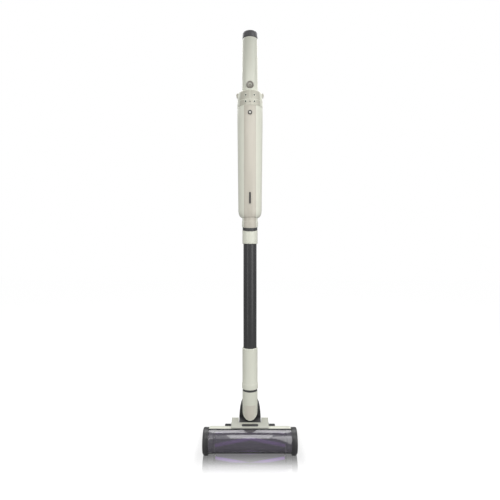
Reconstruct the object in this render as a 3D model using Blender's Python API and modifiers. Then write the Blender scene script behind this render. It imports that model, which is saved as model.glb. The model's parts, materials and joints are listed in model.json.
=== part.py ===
"""Slim cordless stick vacuum, built as separate pieces in metres, +Z up, front towards -Y.

The wand stands on the Z axis and the floor is z = 0. Run it in Blender 4.5's text editor or
with blender --background --python part.py.
"""

import math

import bmesh
import bpy
from mathutils import Matrix, Vector

# ---------------------------------------------------------------- driving dimensions
GAP = 0.0003  # clearance between pieces that touch
SEAT = 0.0004  # clearance between the chamber and what lies round it
REACH = 0.06  # how far a cutter runs past the piece it cuts
RUN = 0.0003  # clearance round a turning or sliding piece
ROUND = 36  # facets round the body
FINE = 28  # facets round a large piece
PLAIN = 20  # facets round a middling piece
SMALL = 12  # facets round a pin or a stud

# floor head
HEAD_WIDTH = 0.2215
CAP_WIDTH = 0.013
CAP_R = 0.030
CAP_CHAMFER = 0.0022
CAP_RIM = 0.008  # how wide the rim round the dished face is
CAP_DISH = 0.0018
FOOT_HALF = 0.012
FOOT_TOP = 0.0033
ROLLER_Y = -0.040
CHAMBER_R = 0.0295
WINDOW_WALL = 0.0016
CHAMBER_WALL = 0.0022
WINDOW_START = math.radians(10.3)
WINDOW_END = math.radians(122.0)
SEAL_ARC = math.radians(5.5)
BUMPER_ARC = math.radians(8.5)
CHAMBER_END = math.radians(-115.0)
ROLLER_Z = 0.0275
NAP_R = 0.0245
CORE_R = 0.0175
CORE_BORE = 0.0150
SHAFT_R = 0.004
CARRIER_R = 0.0255
CARRIER_WIDTH = 0.0112
ROLLER_MOTOR_R = 0.0135
ROLLER_MOTOR_LENGTH = 0.070
ROLLER_ROTOR_R = 0.0065
MOTOR_NECK_R = 0.0089
MOTOR_SHAFT_R = 0.002
CHASSIS_LOW = 0.0045
CHASSIS_TOP = 0.024
CHASSIS_BACK = 0.030
CHASSIS_WALL = 0.003
ARM_IN = 0.0295
ARM_OUT = 0.048
ARM_TOP = 0.041
ARM_BACK = 0.062
ARM_FRONT = 0.001
ARM_LOW = 0.008
TOWER_HALF = 0.0105
TOWER_LOW = 0.010
RECESS_ROOM = 0.0025
WHEEL_R = 0.0137
WHEEL_WIDTH = 0.015
WHEEL_EDGE = 0.0015
WHEEL_RIM = 0.0035
WHEEL_DISH = 0.003
WHEEL_Y = 0.0555
AXLE_R = 0.0023
AXLE_HEAD_R = 0.0050
AXLE_HEAD = 0.0024
COVER_HALF = 0.0446
COVER_FRONT = -0.0425
COVER_BACK = -0.005
COVER_FRONT_Z = 0.0612
COVER_BACK_Z = 0.071
NOTCH_FRONT = -0.024
DUCT_R = 0.0100
DUCT_WALL = 0.0025
DUCT_Z = 0.032

# joints of the neck
PITCH_Y = 0.0225
PITCH_Z = 0.030
PITCH_PIN_R = 0.005
PIN_HOLD = 0.0107  # how deep a pitch pin runs into the yoke
BARREL_R = 0.014
YOKE_HALF = 0.0267
YOKE_FRONT = 0.0078
YOKE_BACK = 0.036
YOKE_TOP = 0.1085
SHELF_FRONT = -0.022
SHELF_LOW = 0.0562
SHELF_TOP = 0.0655
ROLL_Z = 0.0867
SLEEVE_R = 0.0127
SLEEVE_WALL = 0.0017
SLEEVE_LENGTH = 0.020
SLEEVE_INSET = 0.0006
NECK_R = 0.0187
NECK_TOP = 0.136
NECK_BACK = 0.0075
NECK_FLAT_TOP = 0.126
NECK_BORE = 0.0105
PANEL_HALF = 0.0152
PANEL_TOP = 0.104
PANEL_LOW = 0.0705
PANEL_THICK = 0.0022

# wand
TUBE_R = 0.0163
TUBE_WALL = 0.0017
TUBE_LOW = 0.242
TUBE_TOP = 0.498
TUBE_HOLD = 0.014
SOCKET_HOLD = 0.030
LOWER_R = 0.0188
LOWER_FLARE = 0.0197
LOWER_FLARE_HEIGHT = 0.012
RING_R = 0.0183
NECK_RING_HEIGHT = 0.0057
SPIGOT_R = 0.0159
SPIGOT_UP = 0.028
NECK_SPIGOT = 0.060
COLLAR_R = 0.01875
LEAN = math.radians(13.0)  # slope of the joint between wand and hand vacuum
COLLAR_TOP = 0.528  # at the front
LEAN_RING = 0.0082

# hand vacuum
NOSE_R = 0.0188
NOSE_BORE = 0.0164
SKIRT_R = 0.0198
SKIRT_TOP = 0.553
SKIRT_LOW = 0.541
BODY_LOW = 0.562
BODY_TOP = 0.835
BODY_R = 0.0318
BODY_MID_R = 0.0291
SHOULDER = 0.019
BODY_SET_BACK = 0.009
BODY_WALL = 0.0022
STRIP_HALF = 0.0145
STRIP_THICK = 0.0012
STRIP_LOW = 0.537
BAND_TOP = 0.872
BAND_SPLIT = 0.8490
BAND_WALL = 0.0030
BAND_DRAW = 0.0022
PLATE_THICK = 0.0010
PLATE_HALF_TOP = 0.0231
PLATE_HALF_LOW = 0.0258
LATCH_LOW = 0.8612
LATCH_OUT = 0.0343
LATCH_TRAVEL = 0.002
HANDLE_R = 0.0195
HANDLE_TOP_R = 0.0193
HANDLE_TOP = 1.003
HANDLE_PLUG = 0.026
BATTERY_R = 0.0132
BATTERY_WALL = 0.0018
BATTERY_LOW = 0.786
CELL_R = 0.0106
CELL_LENGTH = 0.070
CAP_TOP = 1.020
CAP_ROUND = 0.004
BUTTON_R = 0.009
BUTTON_Z = 0.885
BUTTON_TRAVEL = 0.0011
LENS_R = 0.0040
LENS_Z = 0.8165
INLET_R = 0.0162
INLET_WALL = 0.0014
INLET_TOP = 0.618
FILTER_Z = 0.656
FILTER_HEIGHT = 0.022
CONE_HEIGHT = 0.030
IMPELLER_Z = 0.697
IMPELLER_HEIGHT = 0.013
IMPELLER_R = 0.022
MOTOR_Z = 0.716
MOTOR_HEIGHT = 0.040
MOTOR_R = 0.018
BOARD_Z = 0.765
BOARD_THICK = 0.0016
DOOR_HALF = 0.018
DOOR_LOW = 0.594
DOOR_TOP = 0.650
DOOR_PIN_R = 0.0011
KNUCKLE_R = 0.0024
KNUCKLE_HALF = 0.008
RELEASE_R = 0.0042
RELEASE_TRAVEL = 0.001

# ---------------------------------------------------------------- sizes that follow
HALF_WIDTH = HEAD_WIDTH / 2
CAP_IN = HALF_WIDTH - CAP_WIDTH
SPAN = CAP_IN - GAP  # half-length of what runs between the end caps
ROLLER_HALF = SPAN - CARRIER_WIDTH - 0.004
TUBE_BORE = TUBE_R - TUBE_WALL
HOLD_BORE = TUBE_R + GAP
LOWER_SLEEVE_LOW = NECK_TOP + NECK_RING_HEIGHT
SLEEVE_BACK = PITCH_Y - SLEEVE_INSET
SLEEVE_FRONT = SLEEVE_BACK - SLEEVE_LENGTH
CHASSIS_FRONT = ROLLER_Y + CHAMBER_R + SEAT
TOWER_FRONT = PITCH_Y - TOWER_HALF
TOWER_BACK = PITCH_Y + TOWER_HALF
RECESS_FRONT = PITCH_Y - BARREL_R - RECESS_ROOM
SLEEVE_BORE = SPIGOT_R + 0.0005
CELL_BORE = CELL_R + 0.0008
HANDLE_BORE = BATTERY_R + RUN + 0.0001
RECESS_HALF = YOKE_HALF + 0.0018
WHEEL_IN = ARM_OUT + 0.002

COLOURS = {
    "cream": ((0.76, 0.77, 0.66), 0.35, 0.0),
    "champagne": ((0.60, 0.56, 0.48), 0.28, 0.3),
    "band": ((0.42, 0.41, 0.34), 0.4, 0.3),
    "dark": ((0.035, 0.034, 0.036), 0.45, 0.0),
    "grey": ((0.14, 0.14, 0.145), 0.35, 0.2),
    "metal": ((0.55, 0.55, 0.56), 0.3, 0.9),
    "rubber": ((0.02, 0.02, 0.02), 0.7, 0.0),
    "clear": ((0.62, 0.58, 0.68), 0.1, 0.0),
    "nap": ((0.10, 0.07, 0.16), 0.9, 0.0),
    "carbon": ((0.045, 0.045, 0.047), 0.35, 0.1),
    "board": ((0.03, 0.20, 0.08), 0.5, 0.0),
    "foam": ((0.10, 0.10, 0.11), 0.9, 0.0),
    "cell": ((0.10, 0.25, 0.50), 0.4, 0.0),
}

PARTS = None
CUTTERS = None


def clear_scene():
    """Removes what the scene starts with and makes the two collections."""
    global PARTS, CUTTERS
    for obj in list(bpy.data.objects):
        bpy.data.objects.remove(obj, do_unlink=True)
    PARTS = bpy.data.collections.new("stick_vacuum")
    CUTTERS = bpy.data.collections.new("cutters")
    bpy.context.scene.collection.children.link(PARTS)
    bpy.context.scene.collection.children.link(CUTTERS)


def paint(obj, finish):
    colour, roughness, metallic = COLOURS[finish]
    mat = bpy.data.materials.new(obj.name + "_" + finish)
    mat.use_nodes = True
    shader = mat.node_tree.nodes["Principled BSDF"]
    shader.inputs["Base Color"].default_value = (*colour, 1.0)
    shader.inputs["Roughness"].default_value = roughness
    shader.inputs["Metallic"].default_value = metallic
    obj.data.materials.append(mat)


def place(name, mesh, finish, matrix):
    """Adds a mesh as a part, or as a cutter when it has no finish."""
    obj = bpy.data.objects.new(name, mesh)
    obj.matrix_world = matrix
    if finish is None:
        CUTTERS.objects.link(obj)
        obj.hide_render = True
        obj.display_type = "WIRE"
    else:
        PARTS.objects.link(obj)
        paint(obj, finish)
    return obj


def along(axis, at):
    """The matrix that turns local Z to the given axis and moves it to a point."""
    turns = {
        "X": Matrix(((0, 0, 1), (1, 0, 0), (0, 1, 0))),
        "-X": Matrix(((0, 0, -1), (-1, 0, 0), (0, 1, 0))),
        "Y": Matrix(((1, 0, 0), (0, 0, 1), (0, -1, 0))),
        "-Y": Matrix(((1, 0, 0), (0, 0, -1), (0, 1, 0))),
        "Z": Matrix.Identity(3),
    }
    return Matrix.Translation(Vector(at)) @ turns[axis].to_4x4()


def turned(name, profile, finish, axis="Z", at=(0, 0, 0), steps=PLAIN, ring=False):
    """A turned piece: (radius, height) points down the outer side, and up the bore of a ring."""
    mesh = bpy.data.meshes.new(name)
    points = [(radius, 0.0, height) for radius, height in profile]
    edges = [(i, i + 1) for i in range(len(points) - 1)]
    if ring:
        edges.append((len(points) - 1, 0))
    mesh.from_pydata(points, edges, [])
    obj = place(name, mesh, finish, along(axis, at))
    screw = obj.modifiers.new("turn", "SCREW")
    screw.axis = "Z"
    screw.steps = steps
    screw.render_steps = steps
    screw.use_merge_vertices = True
    screw.merge_threshold = 0.00001
    screw.use_smooth_shade = False
    return obj


def tube(name, outer, bore, low, high, finish, axis="Z", at=(0, 0, 0), steps=PLAIN):
    """A plain ring between two heights along its axis."""
    profile = [(outer, high), (outer, low), (bore, low), (bore, high)]
    return turned(name, profile, finish, axis, at, steps, ring=True)


def rod(name, radius, low, high, finish, axis="Z", at=(0, 0, 0), steps=SMALL, chamfer=0.0):
    """A solid round bar between two heights along its axis."""
    profile = [(0, high), (radius, high), (radius, low), (0, low)]
    if chamfer:
        profile = [
            (0, high),
            (radius - chamfer, high),
            (radius, high - chamfer),
            (radius, low),
            (0, low),
        ]
    return turned(name, profile, finish, axis, at, steps)


def block(name, low, high, finish, bevel=0.0):
    """A box between two corners, with its edges rounded by a Bevel where asked."""
    size = [b - a for a, b in zip(low, high)]
    centre = [(a + b) / 2 for a, b in zip(low, high)]
    mesh = bpy.data.meshes.new(name)
    bm = bmesh.new()
    bmesh.ops.create_cube(bm, size=1.0, matrix=Matrix.Diagonal((*size, 1.0)))
    bm.to_mesh(mesh)
    bm.free()
    obj = place(name, mesh, finish, Matrix.Translation(Vector(centre)))
    if bevel:
        rounding = obj.modifiers.new("edges", "BEVEL")
        rounding.width = bevel
        rounding.segments = 2
        rounding.limit_method = "ANGLE"
    return obj


def plate(name, outline, low, high, finish, axis="X"):
    """A flat outline given thickness: (y, z) points along X, or (x, z) points along Y."""
    curve = bpy.data.curves.new(name, "CURVE")
    curve.dimensions = "2D"
    curve.fill_mode = "BOTH"
    curve.extrude = (high - low) / 2
    spline = curve.splines.new("POLY")
    spline.points.add(len(outline) - 1)
    for point, (across, up) in zip(spline.points, outline):
        point.co = (across, up, 0.0, 1.0)
    spline.use_cyclic_u = True
    guide = bpy.data.objects.new(name + "_outline", curve)
    CUTTERS.objects.link(guide)
    graph = bpy.context.evaluated_depsgraph_get()
    mesh = bpy.data.meshes.new_from_object(guide.evaluated_get(graph))
    bpy.data.objects.remove(guide, do_unlink=True)
    bpy.data.curves.remove(curve)
    bm = bmesh.new()
    bm.from_mesh(mesh)
    bmesh.ops.remove_doubles(bm, verts=bm.verts, dist=0.000001)
    bmesh.ops.recalc_face_normals(bm, faces=bm.faces)
    bm.to_mesh(mesh)
    bm.free()
    middle = (low + high) / 2
    at = (middle, 0, 0) if axis == "X" else (0, middle, 0)
    return place(name, mesh, finish, along("X" if axis == "X" else "-Y", at))


def combine(obj, tool, operation):
    boolean = obj.modifiers.new(operation.lower(), "BOOLEAN")
    boolean.operation = operation
    boolean.solver = "EXACT"
    boolean.object = tool
    return obj


def cut(obj, *tools):
    for tool in tools:
        combine(obj, tool, "DIFFERENCE")
    return obj


def join(obj, *tools):
    for tool in tools:
        combine(obj, tool, "UNION")
    return obj


def hang(objs, name, at):
    """Parents moving pieces to an empty on their joint's axis."""
    pivot = bpy.data.objects.new(name, None)
    pivot.location = at
    PARTS.objects.link(pivot)
    for obj in objs:
        obj.parent = pivot
        obj.matrix_parent_inverse = Matrix.Translation(-Vector(at))
    return pivot


def arc(centre, radius, start, end, count):
    """(y, z) points on an arc about the roller's chamber, 0 at the top, positive to the front."""
    turns = [start + (end - start) * i / count for i in range(count + 1)]
    return [(centre[0] - radius * math.sin(a), centre[1] + radius * math.cos(a)) for a in turns]


def arc_band(name, outer, wall, start, end, count, finish):
    """A curved wall of the roller's chamber, as long as the space between the end caps."""
    centre = (ROLLER_Y, CAP_R)
    outside = arc(centre, outer, start, end, count)
    inside = arc(centre, outer - wall, end, start, count)
    return plate(name, outside + inside, -SPAN, SPAN, finish)


# ---------------------------------------------------------------- rules of the body's shape
def body_radius(z):
    """Outer radius of the body: a long taper, then a shoulder rounding in to the nose."""
    shoulder_top = BODY_LOW + SHOULDER
    if z >= BODY_TOP:
        return BODY_R
    if z >= shoulder_top:
        share = (z - shoulder_top) / (BODY_TOP - shoulder_top)
        return BODY_MID_R + (BODY_R - BODY_MID_R) * share
    if z <= BODY_LOW:
        return NOSE_R
    turn = math.acos(1 - (z - BODY_LOW) / SHOULDER)
    return NOSE_R + (BODY_MID_R - NOSE_R) * math.sin(turn)


def shoulder_turns():
    """Angles of the shoulder's facets, from the nose up."""
    return [math.radians(15 * i) for i in range(7)]


def shoulder_levels():
    """Heights of the shoulder's facets, from the nose up."""
    return [BODY_LOW + SHOULDER * (1 - math.cos(a)) for a in shoulder_turns()]


def body_centre(z):
    """How far back the body's centre lies, so that its front stays in line with the nose."""
    return BODY_SET_BACK * (body_radius(z) - NOSE_R) / (BODY_R - NOSE_R)


def collar_radius(z):
    """Outer radius of the vent collar: upright below, drawn in towards its top."""
    share = max(0.0, (z - BAND_SPLIT) / (BAND_TOP - BAND_SPLIT))
    return BODY_R - BAND_DRAW * share * share


def strip_seat(z):
    """Outer radius under the front strip, from the body down over the flared skirt."""
    if z < SKIRT_TOP:
        return SKIRT_R
    return body_radius(z)


def settle(obj, centre_rule):
    """Moves every level of a turned piece back by the rule, and keeps the result as its mesh."""
    graph = bpy.context.evaluated_depsgraph_get()
    mesh = bpy.data.meshes.new_from_object(obj.evaluated_get(graph))
    for vertex in mesh.vertices:
        vertex.co.y += centre_rule(vertex.co.z)
    obj.modifiers.clear()
    obj.data = mesh
    return obj


def skin(name, levels, half_rule, radius_rule, centre_rule, thickness, finish, columns=8):
    """A curved plate that lies on a round body's front, a clearance above its surface."""
    mesh = bpy.data.meshes.new(name)
    bm = bmesh.new()
    rows = len(levels) - 1
    bmesh.ops.create_grid(bm, x_segments=columns, y_segments=rows, size=1.0)

    def on_surface(across, row, lift):
        z = levels[row]
        x = across * half_rule(z)
        radius = radius_rule(z) + lift
        return Vector((x, centre_rule(z) - math.sqrt(radius * radius - x * x), z))

    seat = {}
    for vertex in bm.verts:
        seat[vertex] = (vertex.co.x, round((vertex.co.y + 1) / 2 * rows))
    faces = bmesh.ops.extrude_face_region(bm, geom=bm.faces[:])
    for vertex, (across, row) in seat.items():
        vertex.co = on_surface(across, row, GAP)
    for vertex in [item for item in faces["geom"] if isinstance(item, bmesh.types.BMVert)]:
        row = round((vertex.co.y + 1) / 2 * rows)
        vertex.co = on_surface(vertex.co.x, row, GAP + thickness)
    bmesh.ops.recalc_face_normals(bm, faces=bm.faces)
    bm.to_mesh(mesh)
    bm.free()
    return place(name, mesh, finish, Matrix.Identity(4))


def slope_block(name, rise, above):
    """A cutter whose face is the leaning joint plane, raised by a height at the front."""
    low = 0.0 if above else -REACH
    obj = block(name, (-REACH, -REACH, low), (REACH, REACH, low + REACH), None)
    centre = obj.matrix_world.copy()
    hinge = Matrix.Translation((0, -COLLAR_R, COLLAR_TOP + rise))
    obj.matrix_world = hinge @ Matrix.Rotation(LEAN, 4, "X") @ centre
    return obj


# ---------------------------------------------------------------- floor head
def make_chamber():
    """The roller's housing: rear wall, clear window, the seal between them and the bumper."""
    rear = arc_band(
        "chamber_shell", CHAMBER_R, CHAMBER_WALL, CHAMBER_END, WINDOW_START - 1.2 * SEAL_ARC, 20, "cream"
    )
    port = rod("port_cutter", DUCT_R, -0.018, -0.006, None, "Y", (0, 0, DUCT_Z), PLAIN)
    cut(rear, port)
    arc_band("roller_window", CHAMBER_R, WINDOW_WALL, WINDOW_START, WINDOW_END, 20, "clear")
    seal_start = WINDOW_START - 1.1 * SEAL_ARC
    arc_band(
        "window_seal", CHAMBER_R + SEAT, CHAMBER_WALL, seal_start, seal_start + SEAL_ARC, 1, "rubber"
    )
    bumper_start = WINDOW_END + math.radians(0.7)
    arc_band("front_bumper", CHAMBER_R, CHAMBER_WALL, bumper_start, bumper_start + BUMPER_ARC, 3, "rubber")


def make_end_caps():
    """The two round ends, each with a chamfered rim, a dished face and a flat foot."""
    dish = CAP_R - CAP_RIM
    outline = [
        (0, HALF_WIDTH - CAP_DISH),
        (dish, HALF_WIDTH - CAP_DISH),
        (dish + CAP_DISH, HALF_WIDTH),
        (CAP_R - CAP_CHAMFER, HALF_WIDTH),
        (CAP_R, HALF_WIDTH - CAP_CHAMFER),
        (CAP_R, CAP_IN),
        (0, CAP_IN),
    ]
    for side, axis, sign in (("left", "-X", -1), ("right", "X", 1)):
        centre = (0, ROLLER_Y, CAP_R)
        cap = turned("end_cap_" + side, outline, "grey", axis, centre, FINE)
        ends = sorted((sign * (CAP_IN + 0.001), sign * (HALF_WIDTH - 0.003)))
        foot = block(
            "foot_" + side,
            (ends[0], ROLLER_Y - FOOT_HALF, 0),
            (ends[1], ROLLER_Y + FOOT_HALF, FOOT_TOP),
            None,
        )
        join(cap, foot)


def make_roller():
    """The soft roller on its hollow core, the motor inside it and the discs that carry both."""
    at = (0, ROLLER_Y, ROLLER_Z)
    carrier_low = SPAN - CARRIER_WIDTH
    tube("bearing_carrier_left", CARRIER_R, MOTOR_NECK_R + GAP, carrier_low, SPAN, "grey", "-X", at)
    tube("bearing_carrier_right", CARRIER_R, SHAFT_R + RUN, carrier_low, SPAN, "grey", "X", at)
    motor_start = -ROLLER_HALF + 0.007
    motor_end = motor_start + ROLLER_MOTOR_LENGTH
    core = turned(
        "roller_core",
        [
            (0, SPAN - GAP),
            (SHAFT_R, SPAN - GAP),
            (SHAFT_R, ROLLER_HALF),
            (CORE_R, ROLLER_HALF),
            (CORE_R, -ROLLER_HALF),
            (CORE_BORE, -ROLLER_HALF),
            (CORE_BORE, motor_end + 0.006),
            (0, motor_end + 0.006),
        ],
        "grey",
        "X",
        at,
    )
    brush = tube("roller_brush", NAP_R, CORE_R + GAP, -ROLLER_HALF, ROLLER_HALF, "nap", "X", at, FINE)
    turned(
        "roller_motor",
        [
            (0, motor_start + 0.002),
            (ROLLER_ROTOR_R + RUN, motor_start + 0.002),
            (ROLLER_ROTOR_R + RUN, motor_end),
            (ROLLER_MOTOR_R, motor_end),
            (ROLLER_MOTOR_R, motor_start),
            (MOTOR_NECK_R, motor_start),
            (MOTOR_NECK_R, -SPAN + GAP),
            (0, -SPAN + GAP),
        ],
        "metal",
        "X",
        at,
    )
    rotor = turned(
        "motor_rotor",
        [
            (0, motor_end + 0.004),
            (MOTOR_SHAFT_R, motor_end + 0.004),
            (MOTOR_SHAFT_R, motor_end - 0.002),
            (ROLLER_ROTOR_R, motor_end - 0.002),
            (ROLLER_ROTOR_R, motor_start + 0.003),
            (0, motor_start + 0.003),
        ],
        "metal",
        "X",
        at,
        SMALL,
    )
    hang([core, brush, rotor], "roller_axis", at)


def make_base():
    """Chassis with its motor and wiring bays, hinge towers and wheel arms, and the deck over it."""
    front = CHASSIS_FRONT
    chassis = block(
        "base_chassis", (-SPAN, front, CHASSIS_LOW), (SPAN, CHASSIS_BACK, CHASSIS_TOP), "dark", 0.001
    )
    cutters = []
    for side, sign in (("left", -1), ("right", 1)):
        arm_x = sorted((sign * ARM_IN, sign * ARM_OUT))
        bay_x = sorted((sign * (ARM_OUT + CHASSIS_WALL), sign * (SPAN - CHASSIS_WALL)))
        arm = block(
            "arm_" + side, (arm_x[0], ARM_FRONT, ARM_LOW), (arm_x[1], ARM_BACK, CHASSIS_TOP - 0.001), None
        )
        tower = block(
            "tower_" + side, (arm_x[0], TOWER_FRONT, TOWER_LOW), (arm_x[1], TOWER_BACK, ARM_TOP), None
        )
        join(chassis, arm, tower)
        bay = block(
            "bay_" + side,
            (bay_x[0], front + CHASSIS_WALL, CHASSIS_LOW + CHASSIS_WALL),
            (bay_x[1], CHASSIS_BACK - CHASSIS_WALL, CHASSIS_TOP + 0.02),
            None,
        )
        pin_x = sorted((sign * YOKE_HALF, sign * (ARM_OUT - 0.0057)))
        pin = rod("pin_bore_" + side, PITCH_PIN_R + GAP, *pin_x, None, "X", (0, PITCH_Y, PITCH_Z))
        axle_x = sorted((sign * (ARM_IN + 0.004), sign * (ARM_OUT + 0.01)))
        axle = rod("axle_bore_" + side, AXLE_R + GAP, *axle_x, None, "X", (0, WHEEL_Y, WHEEL_R))
        cutters += [bay, pin, axle]
    recess = block("recess_cutter", (-RECESS_HALF, RECESS_FRONT, 0), (RECESS_HALF, 0.1, 0.08), None)
    duct_hole = rod(
        "duct_cutter", DUCT_R + DUCT_WALL + GAP, -0.03, RECESS_FRONT + 0.001, None, "Y", (0, 0, DUCT_Z), PLAIN
    )
    cut(chassis, recess, duct_hole, *cutters)
    tube(
        "suction_duct", DUCT_R + DUCT_WALL, DUCT_R, front + 0.0002, RECESS_FRONT, "dark", "Y", (0, 0, DUCT_Z)
    )
    seat = arc((ROLLER_Y, CAP_R), CHAMBER_R + SEAT, math.radians(-101), math.radians(-41), 8)
    low = CHASSIS_TOP + GAP
    deck = plate(
        "deck_cover",
        [(front + 0.0002, low)]
        + [point for point in seat if point[1] > low]
        + [(-0.0200, 0.0540), (0.000, 0.0470), (CHASSIS_BACK - 0.008, 0.036), (CHASSIS_BACK, 0.0285)]
        + [(CHASSIS_BACK, low)],
        -SPAN,
        SPAN,
        "cream",
    )
    tower_room = block(
        "tower_room", (-ARM_OUT - GAP, TOWER_FRONT - GAP, 0), (ARM_OUT + GAP, 0.1, 0.08), None
    )
    cut(deck, recess, duct_hole, tower_room)
    for side, sign in (("left", -1), ("right", 1)):
        span_x = sorted((sign * (ARM_OUT + CHASSIS_WALL), sign * (SPAN - CHASSIS_WALL)))
        room = plate(
            "deck_room_" + side,
            [
                (front + CHASSIS_WALL, 0.020),
                (CHASSIS_BACK - CHASSIS_WALL, 0.020),
                (CHASSIS_BACK - CHASSIS_WALL, 0.0265),
                (CHASSIS_BACK - 0.0105, 0.0335),
                (-0.001, 0.0438),
                (front + CHASSIS_WALL, 0.045),
            ],
            *span_x,
            None,
        )
        cut(deck, room)


def make_wheels():
    """The two rear wheels and the headed axles they turn on."""
    outer = WHEEL_IN + WHEEL_WIDTH
    dish = outer - WHEEL_DISH
    for side, axis, sign in (("left", "-X", -1), ("right", "X", 1)):
        at = (0, WHEEL_Y, WHEEL_R)
        wheel = turned(
            "rear_wheel_" + side,
            [
                (WHEEL_R - WHEEL_RIM, outer),
                (WHEEL_R - WHEEL_EDGE, outer),
                (WHEEL_R, outer - WHEEL_EDGE),
                (WHEEL_R, WHEEL_IN + WHEEL_EDGE),
                (WHEEL_R - WHEEL_EDGE, WHEEL_IN),
                (AXLE_R + RUN, WHEEL_IN),
                (AXLE_R + RUN, dish),
                (WHEEL_R - WHEEL_RIM, dish),
            ],
            "rubber",
            axis,
            at,
            FINE,
            ring=True,
        )
        turned(
            "wheel_axle_" + side,
            [
                (0, dish + AXLE_HEAD),
                (AXLE_HEAD_R, dish + AXLE_HEAD),
                (AXLE_HEAD_R, dish + GAP),
                (AXLE_R, dish + GAP),
                (AXLE_R, ARM_IN + 0.0045),
                (0, ARM_IN + 0.0045),
            ],
            "metal",
            axis,
            at,
            SMALL,
        )
        hang([wheel], "wheel_axis_" + side, at)
        pin_x = sorted((sign * (YOKE_HALF - PIN_HOLD + GAP), sign * (ARM_OUT - 0.006)))
        rod("pitch_pin_" + side, PITCH_PIN_R, *pin_x, "metal", "X", (0, PITCH_Y, PITCH_Z))


def make_top_cover():
    """The sloping cover in front of the neck, notched where the neck's yoke passes."""
    seat = arc((ROLLER_Y, CAP_R), CHAMBER_R + 2 * SEAT, math.radians(4.5), math.radians(-32), 7)
    outline = seat + [
        (-0.0195, 0.0549),
        (COVER_BACK, 0.0495),
        (COVER_BACK, COVER_BACK_Z - 0.0015),
        (COVER_BACK - 0.0015, COVER_BACK_Z),
        (COVER_FRONT + 0.0015, COVER_FRONT_Z + 0.0008),
    ]
    cover = plate("top_cover", outline, -COVER_HALF, COVER_HALF, "cream")
    notch = block(
        "notch_cutter", (-YOKE_HALF - 0.0008, NOTCH_FRONT, 0.03), (YOKE_HALF + 0.0008, 0.05, 0.1), None
    )
    cut(cover, notch)


# ---------------------------------------------------------------- neck
def make_yoke():
    """The yoke: a hinge barrel across the head, a shelf under the neck and a plate behind it."""
    rise = [
        (YOKE_HALF, PITCH_Z),
        (YOKE_HALF, YOKE_TOP - 0.0395),
        (YOKE_HALF - 0.0012, YOKE_TOP - 0.0275),
        (YOKE_HALF - 0.0036, YOKE_TOP - 0.0160),
        (YOKE_HALF - 0.0066, YOKE_TOP - 0.0080),
        (YOKE_HALF - 0.0100, YOKE_TOP - 0.0040),
        (YOKE_HALF - 0.0150, YOKE_TOP - 0.0010),
        (YOKE_HALF - 0.0185, YOKE_TOP),
    ]
    outline = rise + [(-x, z) for x, z in reversed(rise)]
    yoke = plate("yoke_frame", outline, YOKE_FRONT, YOKE_BACK, "dark", "Y")
    shelf = block(
        "shelf", (-YOKE_HALF + 0.0002, SHELF_FRONT, SHELF_LOW), (YOKE_HALF - 0.0002, 0.02, SHELF_TOP), None
    )
    barrel = rod(
        "barrel", BARREL_R, -YOKE_HALF + 0.0002, YOKE_HALF - 0.0002, None, "X", (0, PITCH_Y, PITCH_Z), PLAIN
    )
    join(yoke, shelf, barrel)
    riser = rod("riser_cutter", DUCT_R, PITCH_Z - 0.004, ROLL_Z + 0.009, None, "Z", (0, PITCH_Y, 0), PLAIN)
    mouth = rod("mouth_cutter", DUCT_R - 0.001, -0.01, PITCH_Y, None, "Y", (0, 0, PITCH_Z), PLAIN)
    socket = rod("socket_cutter", SLEEVE_R + GAP, 0, SLEEVE_BACK + GAP, None, "Y", (0, 0, ROLL_Z), PLAIN)
    cut(yoke, riser, mouth, socket)
    for side, sign in (("left", -1), ("right", 1)):
        pin_x = sorted((sign * (YOKE_HALF - PIN_HOLD), sign * (YOKE_HALF + 0.003)))
        cut(yoke, rod("yoke_bore_" + side, PITCH_PIN_R + RUN, *pin_x, None, "X", (0, PITCH_Y, PITCH_Z)))
    sleeve = tube(
        "roll_sleeve",
        SLEEVE_R,
        SLEEVE_R - SLEEVE_WALL,
        SLEEVE_FRONT,
        SLEEVE_BACK,
        "metal",
        "Y",
        (0, 0, ROLL_Z),
    )
    hang([yoke, sleeve], "pitch_axis", (0, PITCH_Y, PITCH_Z))


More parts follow.
